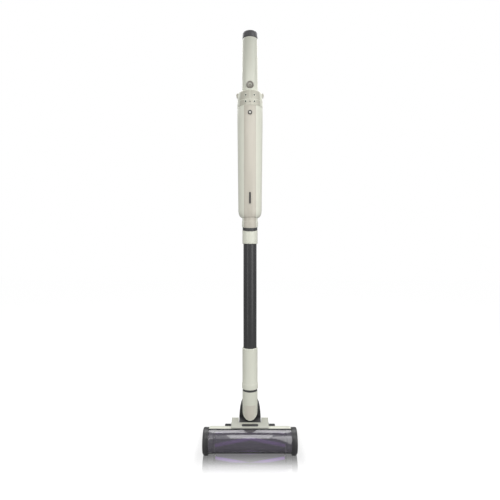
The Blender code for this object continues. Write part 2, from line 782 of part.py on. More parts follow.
def make_neck():
    """The neck: a round-bottomed knuckle that rolls on the hollow sleeve, with a spigot on top."""
    socket_r = SPIGOT_R + GAP
    top = NECK_TOP + NECK_SPIGOT
    neck = turned(
        "neck_shell",
        [
            (0, NECK_FLAT_TOP),
            (socket_r, NECK_FLAT_TOP),
            (socket_r, NECK_TOP),
            (NECK_R, NECK_TOP),
            (NECK_R, ROLL_Z - NECK_R - 0.002),
            (0, ROLL_Z - NECK_R - 0.002),
        ],
        "cream",
        "Z",
        (0, 0, 0),
        FINE,
    )
    bottom_r = NECK_R - 0.00005
    wide = NECK_R + 0.006
    turns = [math.pi * i / 16 for i in range(17)]
    bowl = [(-bottom_r * math.cos(a), ROLL_Z - bottom_r * math.sin(a)) for a in turns]
    above = NECK_TOP + 0.01
    outline = [(-wide, above), (-wide, ROLL_Z)] + bowl + [(wide, ROLL_Z), (wide, above)]
    combine(neck, plate("bowl_cutter", outline, -0.03, 0.03, None, "Y"), "INTERSECT")
    back = block("neck_back", (-0.04, NECK_BACK, 0.04), (0.04, 0.06, NECK_FLAT_TOP - 0.002), None)
    bore_y = NECK_BACK - 0.002 - NECK_BORE
    riser = rod("neck_riser", NECK_BORE, ROLL_Z, NECK_FLAT_TOP + 0.003, None, "Z", (0, bore_y, 0), PLAIN)
    across = rod("neck_across", NECK_BORE - 0.0002, bore_y, 0.02, None, "Y", (0, 0, ROLL_Z), PLAIN)
    socket = rod("neck_socket", SLEEVE_R + RUN, SLEEVE_FRONT - GAP, 0.02, None, "Y", (0, 0, ROLL_Z), PLAIN)
    cut(neck, back, riser, across, socket)
    count = 8
    middle = (PANEL_TOP + PANEL_LOW) / 2
    reach = (PANEL_TOP - PANEL_LOW) / 2
    levels = [middle - reach * math.cos(math.pi * i / count) for i in range(count + 1)]

    def half(z):
        """Half the cover's width: drawn in to follow the knuckle below, rounded at the top."""
        below = max(0.0, ROLL_Z - z) / (ROLL_Z - PANEL_LOW)
        above = max(0.0, z - ROLL_Z) / (PANEL_TOP - ROLL_Z)
        return PANEL_HALF * math.sqrt(1 - 0.82 * below**2) * (1 - 0.3 * above**8)

    cover = skin(
        "neck_pivot_cover", levels, half, lambda z: NECK_R, lambda z: 0.0, PANEL_THICK / 2, "champagne", 16
    )
    spigot_bore = TUBE_BORE - 0.0008
    spigot = tube("neck_spigot", SPIGOT_R, spigot_bore, NECK_FLAT_TOP + GAP, top, "grey", steps=FINE)
    ring = tube(
        "neck_seal_ring", RING_R, SPIGOT_R + RUN, NECK_TOP + GAP, LOWER_SLEEVE_LOW - GAP, "rubber"
    )
    hang([neck, cover, spigot, ring], "roll_axis", (0, 0, ROLL_Z))


# ---------------------------------------------------------------- wand
def make_wand():
    """The tube, the sleeve that plugs over the neck and the collar that plugs into the nose."""
    low = LOWER_SLEEVE_LOW
    stop = NECK_TOP + NECK_SPIGOT + 0.009
    tube_low = TUBE_LOW - SOCKET_HOLD
    turned(
        "lower_sleeve",
        [
            (LOWER_R - 0.0008, TUBE_LOW),
            (LOWER_R, TUBE_LOW - 0.0008),
            (LOWER_R, low + LOWER_FLARE_HEIGHT + 0.0015),
            (LOWER_FLARE, low + LOWER_FLARE_HEIGHT),
            (LOWER_FLARE, low),
            (SLEEVE_BORE, low),
            (SLEEVE_BORE, stop),
            (TUBE_BORE, stop),
            (TUBE_BORE, tube_low - GAP),
            (HOLD_BORE, tube_low - GAP),
            (HOLD_BORE, TUBE_LOW),
        ],
        "cream",
        steps=FINE,
        ring=True,
    )
    tube_top = TUBE_TOP + TUBE_HOLD
    tube("wand_tube", TUBE_R, TUBE_BORE, tube_low, tube_top, "carbon", steps=FINE)
    shoulder = COLLAR_TOP + 0.012
    spigot_top = COLLAR_TOP + SPIGOT_UP
    collar = turned(
        "upper_collar",
        [
            (TUBE_BORE, spigot_top),
            (SPIGOT_R, spigot_top),
            (SPIGOT_R, shoulder),
            (COLLAR_R, shoulder),
            (COLLAR_R, TUBE_TOP + 0.0008),
            (COLLAR_R - 0.0008, TUBE_TOP),
            (HOLD_BORE, TUBE_TOP),
            (HOLD_BORE, tube_top + GAP),
            (TUBE_BORE, tube_top + GAP),
        ],
        "cream",
        steps=FINE,
        ring=True,
    )
    slope = slope_block("collar_slope", 0.0, above=True)
    core = rod("collar_core", SPIGOT_R + 0.0001, 0.4, 0.7, None, "Z", (0, 0, 0), FINE)
    cut(slope, core)
    cut(collar, slope)
    ring = tube("wand_seal_ring", RING_R, NOSE_BORE, COLLAR_TOP - 0.005, COLLAR_TOP + 0.03, "rubber")
    cut(ring, slope_block("ring_low", GAP, above=False), slope_block("ring_high", LEAN_RING, above=True))


def make_release(name, z, at_name):
    """A round release button that presses forward through a sleeve's rear wall."""
    inner = SLEEVE_BORE + RELEASE_TRAVEL
    button = rod(name, RELEASE_R, inner, inner + 0.0042, "grey", "Y", (0, 0, z), PLAIN, 0.0008)
    hang([button], at_name, (0, inner, z))
    return rod(name + "_hole", RELEASE_R + RUN, 0.008, 0.03, None, "Y", (0, 0, z), PLAIN)


# ---------------------------------------------------------------- hand vacuum
def make_body():
    """The body's two shells and the dust door hinged low on their back."""
    outer = [(BODY_R, BODY_TOP - GAP)]
    outer += [(body_radius(z), z) for z in reversed(shoulder_levels())]
    inner = [(BODY_R - BODY_WALL, BODY_TOP - GAP)]
    for a in reversed(shoulder_turns()):
        radius = NOSE_R + (BODY_MID_R - NOSE_R - BODY_WALL) * math.sin(a)
        inner.append((radius, BODY_LOW + SHOULDER * (1 - math.cos(a)) + BODY_WALL * math.cos(a)))
    profile = [(0, BODY_LOW + BODY_WALL)] + inner[::-1] + outer + [(0, BODY_LOW)]
    inlet_hole = rod("inlet_cutter", NOSE_BORE + 0.0002, 0.55, 0.575, None, "Z", (0, 0, 0), FINE)
    door_y = 0.018
    opening = block(
        "door_opening",
        (-DOOR_HALF - GAP, door_y, DOOR_LOW - GAP),
        (DOOR_HALF + GAP, REACH, DOOR_TOP + 2 * GAP),
        None,
    )
    hinge_y = body_centre(DOOR_LOW) + body_radius(DOOR_LOW) + 0.0017
    hinge_z = DOOR_LOW + 0.0015
    hinge = (0, hinge_y, hinge_z)
    pin_bore = rod("door_bore", DOOR_PIN_R + RUN, -0.0122, 0.0122, None, "X", hinge)
    for side, sign in (("left", -1), ("right", 1)):
        shell = settle(turned("body_shell_" + side, profile, "cream", steps=ROUND), body_centre)
        other_half = sorted((-sign * REACH, sign * GAP / 2))
        half = block("half_" + side, (other_half[0], -REACH, 0.5), (other_half[1], REACH, 0.9), None)
        cut(shell, half, inlet_hole, opening)
        lug_x = sorted((sign * (KNUCKLE_HALF + GAP), sign * (KNUCKLE_HALF + 0.006)))
        lug = rod("lug_" + side, KNUCKLE_R, *lug_x, None, "X", hinge)
        foot = block(
            "lug_foot_" + side,
            (lug_x[0] + 0.00005, hinge_y - 0.0075, DOOR_LOW - 0.010),
            (lug_x[1] - 0.00005, hinge_y + 0.0015, DOOR_LOW - GAP),
            None,
        )
        join(shell, foot, lug)
        cut(shell, pin_bore)
    door = settle(turned("dust_door", profile, "cream", steps=ROUND), body_centre)
    panel = block("door_panel", (-DOOR_HALF, door_y, DOOR_LOW), (DOOR_HALF, REACH, DOOR_TOP), None)
    combine(door, panel, "INTERSECT")
    knuckle = rod("knuckle", KNUCKLE_R, -KNUCKLE_HALF, KNUCKLE_HALF, None, "X", hinge)
    tab = block(
        "knuckle_tab",
        (-KNUCKLE_HALF + 0.0001, hinge_y - 0.0045, DOOR_LOW + 0.0002),
        (KNUCKLE_HALF - 0.0001, hinge_y, hinge_z + 0.0018),
        None,
    )
    join(door, tab, knuckle)
    cut(door, pin_bore)
    hang([door], "door_axis", hinge)
    rod("door_hinge_pin", DOOR_PIN_R, -0.012, 0.012, "metal", "X", hinge)


def make_nose():
    """The nose that the wand plugs into, its inlet tube inside the body and the front strip."""
    nose = turned(
        "nose_duct",
        [
            (NOSE_R, BODY_LOW - GAP),
            (NOSE_R, SKIRT_TOP + 0.001),
            (SKIRT_R, SKIRT_TOP - 0.0005),
            (SKIRT_R, COLLAR_TOP),
            (NOSE_BORE, COLLAR_TOP),
            (NOSE_BORE, BODY_LOW - GAP),
        ],
        "cream",
        steps=FINE,
        ring=True,
    )
    hole = make_release("wand_release_button", SKIRT_TOP - 0.0005, "wand_release_axis")
    cut(nose, slope_block("nose_slope", LEAN_RING + GAP, above=False), hole)
    tube("inlet_tube", INLET_R, INLET_R - INLET_WALL, BODY_LOW, INLET_TOP, "dark", steps=PLAIN)
    levels = [STRIP_LOW, SKIRT_TOP - 0.0005, SKIRT_TOP + 0.001] + shoulder_levels() + [BODY_TOP - GAP]
    strip = skin(
        "front_strip",
        levels,
        lambda z: STRIP_HALF,
        strip_seat,
        body_centre,
        STRIP_THICK,
        "champagne",
    )
    lens_hole = rod("lens_cutter", LENS_R + GAP, 0.0, 0.04, None, "-Y", (0, 0, LENS_Z), PLAIN)
    cut(strip, lens_hole)
    face = body_radius(LENS_Z) - body_centre(LENS_Z) + GAP
    rod(
        "indicator_lens", LENS_R, face + 0.0002, face + STRIP_THICK + 0.0004, "clear", "-Y", (0, 0, LENS_Z)
    )


def make_inside():
    """What the body holds: filters, fan, motor and circuit board, one above the other."""
    at = (0, body_centre(MOTOR_Z), 0)
    low = FILTER_Z - GAP - CONE_HEIGHT
    high = FILTER_Z - GAP
    turned(
        "filter_cone",
        [(0, low + 0.0015), (0.0108, low + 0.0015), (0.0226, high), (0.0240, high), (0.0120, low), (0, low)],
        "metal",
        at=at,
    )
    room = body_radius(FILTER_Z) - BODY_WALL - 0.0015
    rod("foam_filter", room, FILTER_Z, FILTER_Z + FILTER_HEIGHT, "foam", "Z", at, PLAIN, 0.001)
    bracket_low = FILTER_Z + FILTER_HEIGHT + GAP
    tube("motor_bracket", room, 0.012, bracket_low, IMPELLER_Z - 0.003, "dark", at=at)
    impeller = turned(
        "impeller",
        [
            (0, IMPELLER_Z + IMPELLER_HEIGHT + 0.020),
            (MOTOR_SHAFT_R, IMPELLER_Z + IMPELLER_HEIGHT + 0.020),
            (MOTOR_SHAFT_R, IMPELLER_Z + IMPELLER_HEIGHT),
            (IMPELLER_R, IMPELLER_Z + IMPELLER_HEIGHT),
            (IMPELLER_R, IMPELLER_Z + IMPELLER_HEIGHT - 0.0015),
            (0.006, IMPELLER_Z + IMPELLER_HEIGHT - 0.0030),
            (0.0035, IMPELLER_Z),
            (0, IMPELLER_Z),
        ],
        "metal",
        at=at,
    )
    for i in range(3):
        blade = block(
            "blade_" + str(i),
            (-IMPELLER_R + 0.0015, -0.0007, IMPELLER_Z + 0.002),
            (IMPELLER_R - 0.0015, 0.0007, IMPELLER_Z + IMPELLER_HEIGHT - 0.0010),
            None,
        )
        turn = Matrix.Rotation(math.radians(60 * i + 8), 4, "Z")
        blade.matrix_world = Matrix.Translation(at) @ turn @ blade.matrix_world
        join(impeller, blade)
    hang([impeller], "impeller_axis", at)
    turned(
        "vac_motor",
        [
            (0, MOTOR_Z + MOTOR_HEIGHT),
            (MOTOR_R - 0.002, MOTOR_Z + MOTOR_HEIGHT),
            (MOTOR_R, MOTOR_Z + MOTOR_HEIGHT - 0.002),
            (MOTOR_R, MOTOR_Z),
            (MOTOR_SHAFT_R + RUN, MOTOR_Z),
            (MOTOR_SHAFT_R + RUN, MOTOR_Z + 0.016),
            (0, MOTOR_Z + 0.016),
        ],
        "metal",
        at=at,
    )
    rod("control_board", 0.024, BOARD_Z, BOARD_Z + BOARD_THICK, "board", "Z", at, PLAIN)


def make_collar():
    """The vent collar with its two front plates, and the latches that free the battery."""
    low = BODY_TOP
    inside = BODY_R - BAND_WALL
    levels = [BAND_TOP - 0.0008, BAND_TOP - 0.006, BAND_TOP - 0.012, BAND_SPLIT, low]
    outer = [(collar_radius(z), z) for z in levels]
    profile = [(0, BAND_TOP), (collar_radius(BAND_TOP) - 0.0008, BAND_TOP)] + outer
    profile += [(inside, low), (inside, BAND_SPLIT), (inside - 0.003, BAND_TOP - 0.004)]
    profile += [(0, BAND_TOP - 0.004)]
    at = (0, BODY_SET_BACK, 0)
    frame = turned("collar_frame", profile, "cream", "Z", at, ROUND)
    bore = rod("collar_bore", HANDLE_R - 0.0012, low - 0.01, BAND_TOP + 0.01, None, "Z", (0, 0, 0), FINE)
    cut(frame, bore)

    def half(z):
        share = (z - BODY_TOP) / (BAND_TOP - BODY_TOP)
        return PLATE_HALF_LOW + (PLATE_HALF_TOP - PLATE_HALF_LOW) * share

    upper = [BAND_SPLIT + 0.0006, BAND_TOP - 0.012, BAND_TOP - 0.006, BAND_TOP - 0.0012]
    lower = [BODY_TOP + 0.0008, BAND_SPLIT - 0.0006]
    for name, rows in (("collar_plate_upper", upper), ("collar_plate_lower", lower)):
        skin(name, rows, half, collar_radius, lambda z: BODY_SET_BACK, PLATE_THICK, "band", 12)
    foot = LATCH_OUT - 0.006
    for side, sign in (("left", -1), ("right", 1)):
        shape = [
            (foot, LATCH_LOW + GAP),
            (LATCH_OUT - 0.0018, LATCH_LOW + GAP),
            (LATCH_OUT, LATCH_LOW + 0.007),
            (LATCH_OUT - 0.0028, BAND_TOP - 0.0005),
            (foot, BAND_TOP - 0.0005),
        ]
        shape = [(sign * x, z) for x, z in shape]
        ends = (BODY_SET_BACK - 0.006, BODY_SET_BACK + 0.006)
        latch = plate("battery_latch_" + side, shape, *ends, "band", "Y")
        pocket_x = sorted((sign * (foot - LATCH_TRAVEL - GAP), sign * 0.05))
        pocket = block(
            "latch_pocket_" + side,
            (pocket_x[0], ends[0] - GAP, LATCH_LOW),
            (pocket_x[1], ends[1] + GAP, BAND_TOP + 0.01),
            None,
        )
        cut(frame, pocket)
        hang([latch], "latch_axis_" + side, (sign * foot, BODY_SET_BACK, LATCH_LOW))


def make_handle():
    """The round handle with its power button."""
    plug_r = HANDLE_R - 0.0012 - GAP
    low = BAND_TOP + GAP
    handle = turned(
        "handle_shell",
        [
            (HANDLE_TOP_R, HANDLE_TOP - GAP),
            (HANDLE_R, low),
            (plug_r, low),
            (plug_r, BAND_TOP - HANDLE_PLUG),
            (HANDLE_BORE, BAND_TOP - HANDLE_PLUG),
            (HANDLE_BORE, HANDLE_TOP - GAP),
        ],
        "cream",
        steps=FINE,
        ring=True,
    )
    floor = HANDLE_BORE + 0.002
    pocket = rod("button_pocket", BUTTON_R + RUN, floor, 0.04, None, "-Y", (0, 0, BUTTON_Z), PLAIN)
    cut(handle, pocket)
    inner = floor + GAP + BUTTON_TRAVEL
    button = rod(
        "power_button", BUTTON_R, inner, HANDLE_R + 0.0008, "champagne", "-Y", (0, 0, BUTTON_Z), PLAIN, 0.0006
    )
    hang([button], "button_axis", (0, -inner, BUTTON_Z))


def make_battery():
    """The stick battery: an open case, three cells in line and the dark cap that closes it."""
    floor = BATTERY_LOW + 0.002
    plug_low = HANDLE_TOP - 0.0037
    case = turned(
        "battery_case",
        [
            (0, floor),
            (CELL_BORE, floor),
            (CELL_BORE, HANDLE_TOP - GAP),
            (BATTERY_R, HANDLE_TOP - GAP),
            (BATTERY_R, BATTERY_LOW),
            (0, BATTERY_LOW),
        ],
        "dark",
    )
    pieces = [case]
    for i in range(3):
        low = floor + GAP + i * (CELL_LENGTH + GAP)
        pieces.append(
            rod("battery_cell_" + str(i + 1), CELL_R, low, low + CELL_LENGTH, "cell", steps=PLAIN)
        )
    cap = turned(
        "battery_cap",
        [
            (0, CAP_TOP),
            (HANDLE_TOP_R - CAP_ROUND, CAP_TOP),
            (HANDLE_TOP_R - CAP_ROUND * 0.3, CAP_TOP - CAP_ROUND * 0.3),
            (HANDLE_TOP_R, CAP_TOP - CAP_ROUND),
            (HANDLE_TOP_R, HANDLE_TOP),
            (CELL_BORE - GAP, HANDLE_TOP),
            (CELL_BORE - GAP, plug_low),
            (0, plug_low),
        ],
        "grey",
        steps=FINE,
    )
    hang(pieces + [cap], "battery_axis", (0, 0, BATTERY_LOW))


def main():
    clear_scene()
    make_chamber()
    make_end_caps()
    make_roller()
    make_base()
    make_wheels()
    make_top_cover()
    make_yoke()
    make_neck()
    make_wand()
    sleeve_hole = make_release(
        "nozzle_release_button", LOWER_SLEEVE_LOW + LOWER_FLARE_HEIGHT * 0.6, "nozzle_release_axis"
    )
    cut(bpy.data.objects["lower_sleeve"], sleeve_hole)
    make_body()
    make_nose()
    make_inside()
    make_collar()
    make_handle()
    make_battery()


main()
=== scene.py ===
"""Looks of the slim cordless stick vacuum, laid out as an add-on and run as a script.

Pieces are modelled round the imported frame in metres: +Z up, front towards -Y, floor at z = 0.
"""

import json
import math
import sys

import bmesh
import bpy
from bpy.props import FloatProperty, FloatVectorProperty, IntProperty, PointerProperty
from mathutils import Matrix, Vector
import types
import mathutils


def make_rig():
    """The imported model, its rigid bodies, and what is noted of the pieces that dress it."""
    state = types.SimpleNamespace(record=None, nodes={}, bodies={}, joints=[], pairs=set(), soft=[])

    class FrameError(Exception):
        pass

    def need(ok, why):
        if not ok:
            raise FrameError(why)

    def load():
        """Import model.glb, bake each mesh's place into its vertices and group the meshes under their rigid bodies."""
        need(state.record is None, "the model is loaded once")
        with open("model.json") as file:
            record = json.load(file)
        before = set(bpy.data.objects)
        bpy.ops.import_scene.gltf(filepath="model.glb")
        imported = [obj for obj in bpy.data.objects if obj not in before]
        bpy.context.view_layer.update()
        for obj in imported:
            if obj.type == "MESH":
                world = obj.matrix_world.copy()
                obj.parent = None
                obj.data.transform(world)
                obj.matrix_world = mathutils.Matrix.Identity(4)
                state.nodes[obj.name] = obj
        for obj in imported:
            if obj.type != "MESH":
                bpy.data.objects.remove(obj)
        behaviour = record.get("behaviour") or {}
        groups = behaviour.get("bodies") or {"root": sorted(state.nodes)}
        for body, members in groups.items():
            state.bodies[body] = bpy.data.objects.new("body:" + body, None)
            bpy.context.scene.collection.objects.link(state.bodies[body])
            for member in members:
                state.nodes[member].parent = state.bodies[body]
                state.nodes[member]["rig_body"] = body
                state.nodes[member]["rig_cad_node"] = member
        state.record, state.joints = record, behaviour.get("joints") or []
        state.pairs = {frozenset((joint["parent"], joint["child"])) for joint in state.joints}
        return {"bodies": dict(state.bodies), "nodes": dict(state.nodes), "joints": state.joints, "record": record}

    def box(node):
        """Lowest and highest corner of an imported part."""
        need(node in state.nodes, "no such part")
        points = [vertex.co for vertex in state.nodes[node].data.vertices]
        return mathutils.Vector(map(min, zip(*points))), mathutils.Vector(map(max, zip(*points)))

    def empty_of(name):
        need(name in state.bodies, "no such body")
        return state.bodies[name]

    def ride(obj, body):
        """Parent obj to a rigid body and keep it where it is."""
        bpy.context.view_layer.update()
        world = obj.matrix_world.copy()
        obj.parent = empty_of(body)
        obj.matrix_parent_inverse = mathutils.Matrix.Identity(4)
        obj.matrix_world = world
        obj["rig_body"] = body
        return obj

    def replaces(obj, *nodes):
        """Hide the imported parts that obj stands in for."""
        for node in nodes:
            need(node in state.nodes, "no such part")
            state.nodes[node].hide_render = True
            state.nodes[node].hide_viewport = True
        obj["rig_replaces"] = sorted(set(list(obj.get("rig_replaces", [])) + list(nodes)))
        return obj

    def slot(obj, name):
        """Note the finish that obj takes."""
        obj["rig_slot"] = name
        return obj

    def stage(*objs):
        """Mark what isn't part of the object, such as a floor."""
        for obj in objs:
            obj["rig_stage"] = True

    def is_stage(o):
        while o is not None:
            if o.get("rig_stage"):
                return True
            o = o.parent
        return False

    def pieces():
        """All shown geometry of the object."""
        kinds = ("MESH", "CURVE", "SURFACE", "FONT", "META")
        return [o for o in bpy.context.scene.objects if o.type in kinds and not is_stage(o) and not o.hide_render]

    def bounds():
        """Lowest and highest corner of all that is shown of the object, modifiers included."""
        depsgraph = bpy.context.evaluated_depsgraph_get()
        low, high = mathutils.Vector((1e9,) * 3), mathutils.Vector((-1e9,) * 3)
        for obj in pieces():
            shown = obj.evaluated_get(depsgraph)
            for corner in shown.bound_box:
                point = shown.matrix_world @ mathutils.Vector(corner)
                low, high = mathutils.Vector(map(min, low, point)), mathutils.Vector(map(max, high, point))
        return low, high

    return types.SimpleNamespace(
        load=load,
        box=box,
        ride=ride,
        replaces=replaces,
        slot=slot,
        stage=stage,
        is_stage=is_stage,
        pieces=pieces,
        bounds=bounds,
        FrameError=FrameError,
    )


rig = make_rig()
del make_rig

bl_info = {
    "name": "Stick Vacuum Looks",
    "version": (1, 0, 0),
    "blender": (4, 5, 0),
    "location": "View3D > Sidebar > Vacuum",
    "description": "Models the visible pieces of a slim cordless stick vacuum and its studio stage",
    "category": "Object",
}

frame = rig.load()
cad_low, cad_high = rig.bounds()

CREASE = math.radians(32)  # edges sharper than this stay sharp in the shading
SEAM = 0.0004  # width of a parting line between two pieces


# ---------------------------------------------------------------- settings
class VacuumFinishes(bpy.types.PropertyGroup):
    """Colours of the vacuum's finishes, as sRGB-like swatches in linear light."""

    cream: FloatVectorProperty(
        name="Cream", description="Colour of the satin shells", subtype="COLOR", default=(0.79, 0.80, 0.69)
    )
    champagne: FloatVectorProperty(
        name="Champagne",
        description="Colour of the front strip",
        subtype="COLOR",
        default=(0.59, 0.555, 0.475),
    )
    panel: FloatVectorProperty(
        name="Panel",
        description="Colour of the neck's pivot cover",
        subtype="COLOR",
        default=(0.70, 0.66, 0.57),
    )
    taupe: FloatVectorProperty(
        name="Taupe", description="Colour of the power button", subtype="COLOR", default=(0.26, 0.245, 0.21)
    )
    band: FloatVectorProperty(
        name="Collar band",
        description="Colour of the vent plates",
        subtype="COLOR",
        default=(0.58, 0.565, 0.48),
    )
    grey: FloatVectorProperty(
        name="Grey",
        description="Colour of the metallic grey plastic",
        subtype="COLOR",
        default=(0.13, 0.13, 0.135),
    )
    slate: FloatVectorProperty(
        name="Slate",
        description="Colour of the end caps and the yoke",
        subtype="COLOR",
        default=(0.048, 0.048, 0.050),
    )
    dark: FloatVectorProperty(
        name="Dark", description="Colour of the black plastic", subtype="COLOR", default=(0.022, 0.022, 0.024)
    )
    nap: FloatVectorProperty(
        name="Nap", description="Colour of the roller's nap", subtype="COLOR", default=(0.095, 0.080, 0.115)
    )
    nap_line: FloatVectorProperty(
        name="Nap line",
        description="Colour of the roller's spiral tufts",
        subtype="COLOR",
        default=(0.42, 0.21, 0.70),
    )


class VacuumDetail(bpy.types.PropertyGroup):
    """Sizes of the surface detail."""

    facets: IntProperty(name="Facets", description="Facets round a large turned piece", default=96, min=24)
    weave: FloatProperty(
        name="Weave", description="Width of one tow of the wand's weave", unit="LENGTH", default=0.0029
    )
    tuft_turns: FloatProperty(
        name="Tuft turns", description="Turns that a row of tufts makes along half the roller", default=0.10
    )


class VacuumStage(bpy.types.PropertyGroup):
    """Camera and lights of the studio."""

    distance: FloatProperty(
        name="Distance",
        description="Camera in front of the wand",
        unit="LENGTH",
        default=1.015,
    )
    height: FloatProperty(name="Height", description="Camera above the floor", unit="LENGTH", default=0.500)
    lens: FloatProperty(name="Lens", description="Focal length", unit="CAMERA", default=29.52)
    key: FloatProperty(
        name="Key light",
        description="Power of the right-hand softbox",
        unit="POWER",
        default=7.7,
    )
    strip: FloatProperty(
        name="Strip light",
        description="Power of the high strip light",
        unit="POWER",
        default=2.6,
    )
    card: FloatProperty(
        name="Card light",
        description="Power of the light behind and above",
        unit="POWER",
        default=9.5,
    )
    fill: FloatProperty(
        name="Fill light",
        description="Power of the left-hand softbox",
        unit="POWER",
        default=1.9,
    )
    ambient: FloatProperty(name="Ambient", description="Strength of the light from all round", default=0.56)


# ---------------------------------------------------------------- node helpers
class Nodes:
    """Adds shader nodes to one material, with the Principled shader ready to be set."""

    def __init__(self, name):
        self.material = bpy.data.materials.new(name)
        self.material.use_nodes = True
        self.tree = self.material.node_tree
        self.shader = self.tree.nodes["Principled BSDF"]

    def set(self, **values):
        """Sets sockets of the shader: base_color=(r, g, b) sets Base Color."""
        for key, value in values.items():
            socket = self.shader.inputs[key.replace("_", " ").title().replace("Ior", "IOR")]
            socket.default_value = (*value, 1.0) if isinstance(value, tuple) else value
        return self

    def add(self, kind, **values):
        node = self.tree.nodes.new(kind)
        for key, value in values.items():
            setattr(node, key, value)
        return node

    def link(self, source, target):
        self.tree.links.new(source, target)

    def math(self, operation, first, second=None):
        node = self.add("ShaderNodeMath", operation=operation)
        for socket, value in zip(node.inputs, (first, second)):
            if value is None:
                continue
            if isinstance(value, (int, float)):
                socket.default_value = value
            else:
                self.link(value, socket)
        return node.outputs[0]

    def place(self, scale=(1.0, 1.0, 1.0)):
        """Object coordinates, scaled."""
        coordinate = self.add("ShaderNodeTexCoord")
        mapping = self.add("ShaderNodeMapping")
        mapping.inputs["Scale"].default_value = scale
        self.link(coordinate.outputs["Object"], mapping.inputs["Vector"])
        return mapping.outputs["Vector"]

    def noise(self, scale, detail=3.0, stretch=(1.0, 1.0, 1.0), roughness=0.5):
        node = self.add("ShaderNodeTexNoise")
        node.inputs["Scale"].default_value = scale
        node.inputs["Detail"].default_value = detail
        node.inputs["Roughness"].default_value = roughness
        self.link(self.place(stretch), node.inputs["Vector"])
        return node.outputs["Fac"]

    def spread(self, factor, low, high):
        """Maps a 0 to 1 factor to a range."""
        node = self.add("ShaderNodeMapRange")
        node.inputs["To Min"].default_value = low
        node.inputs["To Max"].default_value = high
        self.link(factor, node.inputs["Value"])
        return node.outputs["Result"]

    def mix(self, factor, first, second):
        node = self.add("ShaderNodeMix", data_type="RGBA")
        self.link(factor, node.inputs["Factor"])
        for socket, value in ((node.inputs["A"], first), (node.inputs["B"], second)):
            if isinstance(value, tuple):
                socket.default_value = (*value, 1.0)
            else:
                self.link(value, socket)
        return node.outputs["Result"]

    def colour(self, source):
        self.link(source, self.shader.inputs["Base Color"])
        return self

    def rough(self, source):
        self.link(source, self.shader.inputs["Roughness"])
        return self

    def bump(self, height, distance, strength=1.0):
        node = self.add("ShaderNodeBump")
        node.inputs["Distance"].default_value = distance
        node.inputs["Strength"].default_value = strength
        self.link(height, node.inputs["Height"])
        self.link(node.outputs["Normal"], self.shader.inputs["Normal"])
        return self


def scaled(colour, factor):
    return tuple(min(1.0, channel * factor) for channel in colour)


def finishes():
    return bpy.context.scene.vacuum_finishes


def detail():
    return bpy.context.scene.vacuum_detail


MATERIALS = {}


def material(name):
    """Each finish is made once, by the function of its name."""
    if name not in MATERIALS:
        MATERIALS[name] = globals()["finish_" + name]()
    return MATERIALS[name]


def moulded(name, colour, roughness, grain, coat=0.0, metallic=0.0):
    """Moulded plastic: faint mottling, uneven gloss and a fine spark-eroded grain."""
    nodes = Nodes(name)
    nodes.set(metallic=metallic, coat_weight=coat, coat_roughness=0.12)
    drift = nodes.noise(14.0, 2.0)
    nodes.colour(nodes.mix(drift, scaled(colour, 0.965), scaled(colour, 1.035)))
    nodes.rough(nodes.spread(nodes.noise(160.0, 2.0), roughness - 0.04, roughness + 0.05))
    nodes.bump(nodes.noise(2600.0, 2.0), grain)
    return nodes.material


def finish_cream():
    return moulded("satin_cream", tuple(finishes().cream), 0.34, 0.000012, coat=0.18)


def finish_ivory():
    """The shells behind the roller and the deck: the cream made paler, painted light that stands in for the brighter
    light these shells catch.
    """
    return moulded("satin_ivory", scaled(tuple(finishes().cream), 1.14), 0.30, 0.000012, coat=0.25)


def finish_lid():
    """The top cover, a shade deeper than the shells round it: the cream made darker, painted shade for the light its
    forward slope misses.
    """
    return moulded("satin_lid", scaled(tuple(finishes().cream), 0.57), 0.38, 0.000012, coat=0.10)


def finish_panel():
    return moulded("pale_panel", tuple(finishes().panel), 0.34, 0.00001, coat=0.2)


def finish_taupe():
    return moulded("taupe_key", tuple(finishes().taupe), 0.36, 0.00001, coat=0.2)


def finish_slate():
    return moulded("slate_plastic", tuple(finishes().slate), 0.36, 0.00001, coat=0.2, metallic=0.2)


def finish_champagne():
    """Champagne strip: pearl-flecked lacquer drawn along its length."""
    colour = tuple(finishes().champagne)
    nodes = Nodes("champagne_lacquer")
    nodes.set(metallic=0.08, coat_weight=0.2, coat_roughness=0.14)
    streak = nodes.noise(260.0, 3.0, stretch=(1.0, 1.0, 0.02))
    nodes.colour(nodes.mix(streak, scaled(colour, 0.93), scaled(colour, 1.06)))
    nodes.rough(nodes.spread(nodes.noise(900.0, 2.0), 0.32, 0.44))
    nodes.bump(nodes.noise(3000.0, 1.0), 0.000006)
    return nodes.material


def finish_band():
    return moulded("collar_band", tuple(finishes().band), 0.38, 0.00002, metallic=0.15)


def finish_grey():
    """Grey metallic plastic with fine streaks along its moulding."""
    colour = tuple(finishes().grey)
    nodes = Nodes("grey_metallic")
    nodes.set(metallic=0.45, coat_weight=0.2, coat_roughness=0.15)
    streak = nodes.noise(420.0, 4.0, stretch=(1.0, 1.0, 0.04))
    nodes.colour(nodes.mix(streak, scaled(colour, 0.72), scaled(colour, 1.4)))
    nodes.rough(nodes.spread(nodes.noise(300.0, 2.0), 0.26, 0.4))
    nodes.bump(nodes.noise(2400.0, 2.0), 0.000012)
    return nodes.material


def finish_dark():
    return moulded("black_plastic", tuple(finishes().dark), 0.42, 0.00003)


def finish_rubber():
    nodes = Nodes("black_rubber")
    nodes.colour(nodes.mix(nodes.noise(40.0, 2.0), (0.022, 0.022, 0.023), (0.036, 0.036, 0.038)))
    nodes.rough(nodes.spread(nodes.noise(220.0, 2.0), 0.5, 0.7))
    nodes.bump(nodes.noise(1500.0, 3.0), 0.00004)
    return nodes.material


def finish_gasket():
    """The softer grey rubber of the two seal rings."""
    nodes = Nodes("grey_gasket")
    nodes.colour(nodes.mix(nodes.noise(40.0, 2.0), (0.066, 0.066, 0.066), (0.088, 0.088, 0.087)))
    nodes.rough(nodes.spread(nodes.noise(220.0, 2.0), 0.36, 0.5))
    nodes.bump(nodes.noise(1500.0, 3.0), 0.00002)
    return nodes.material


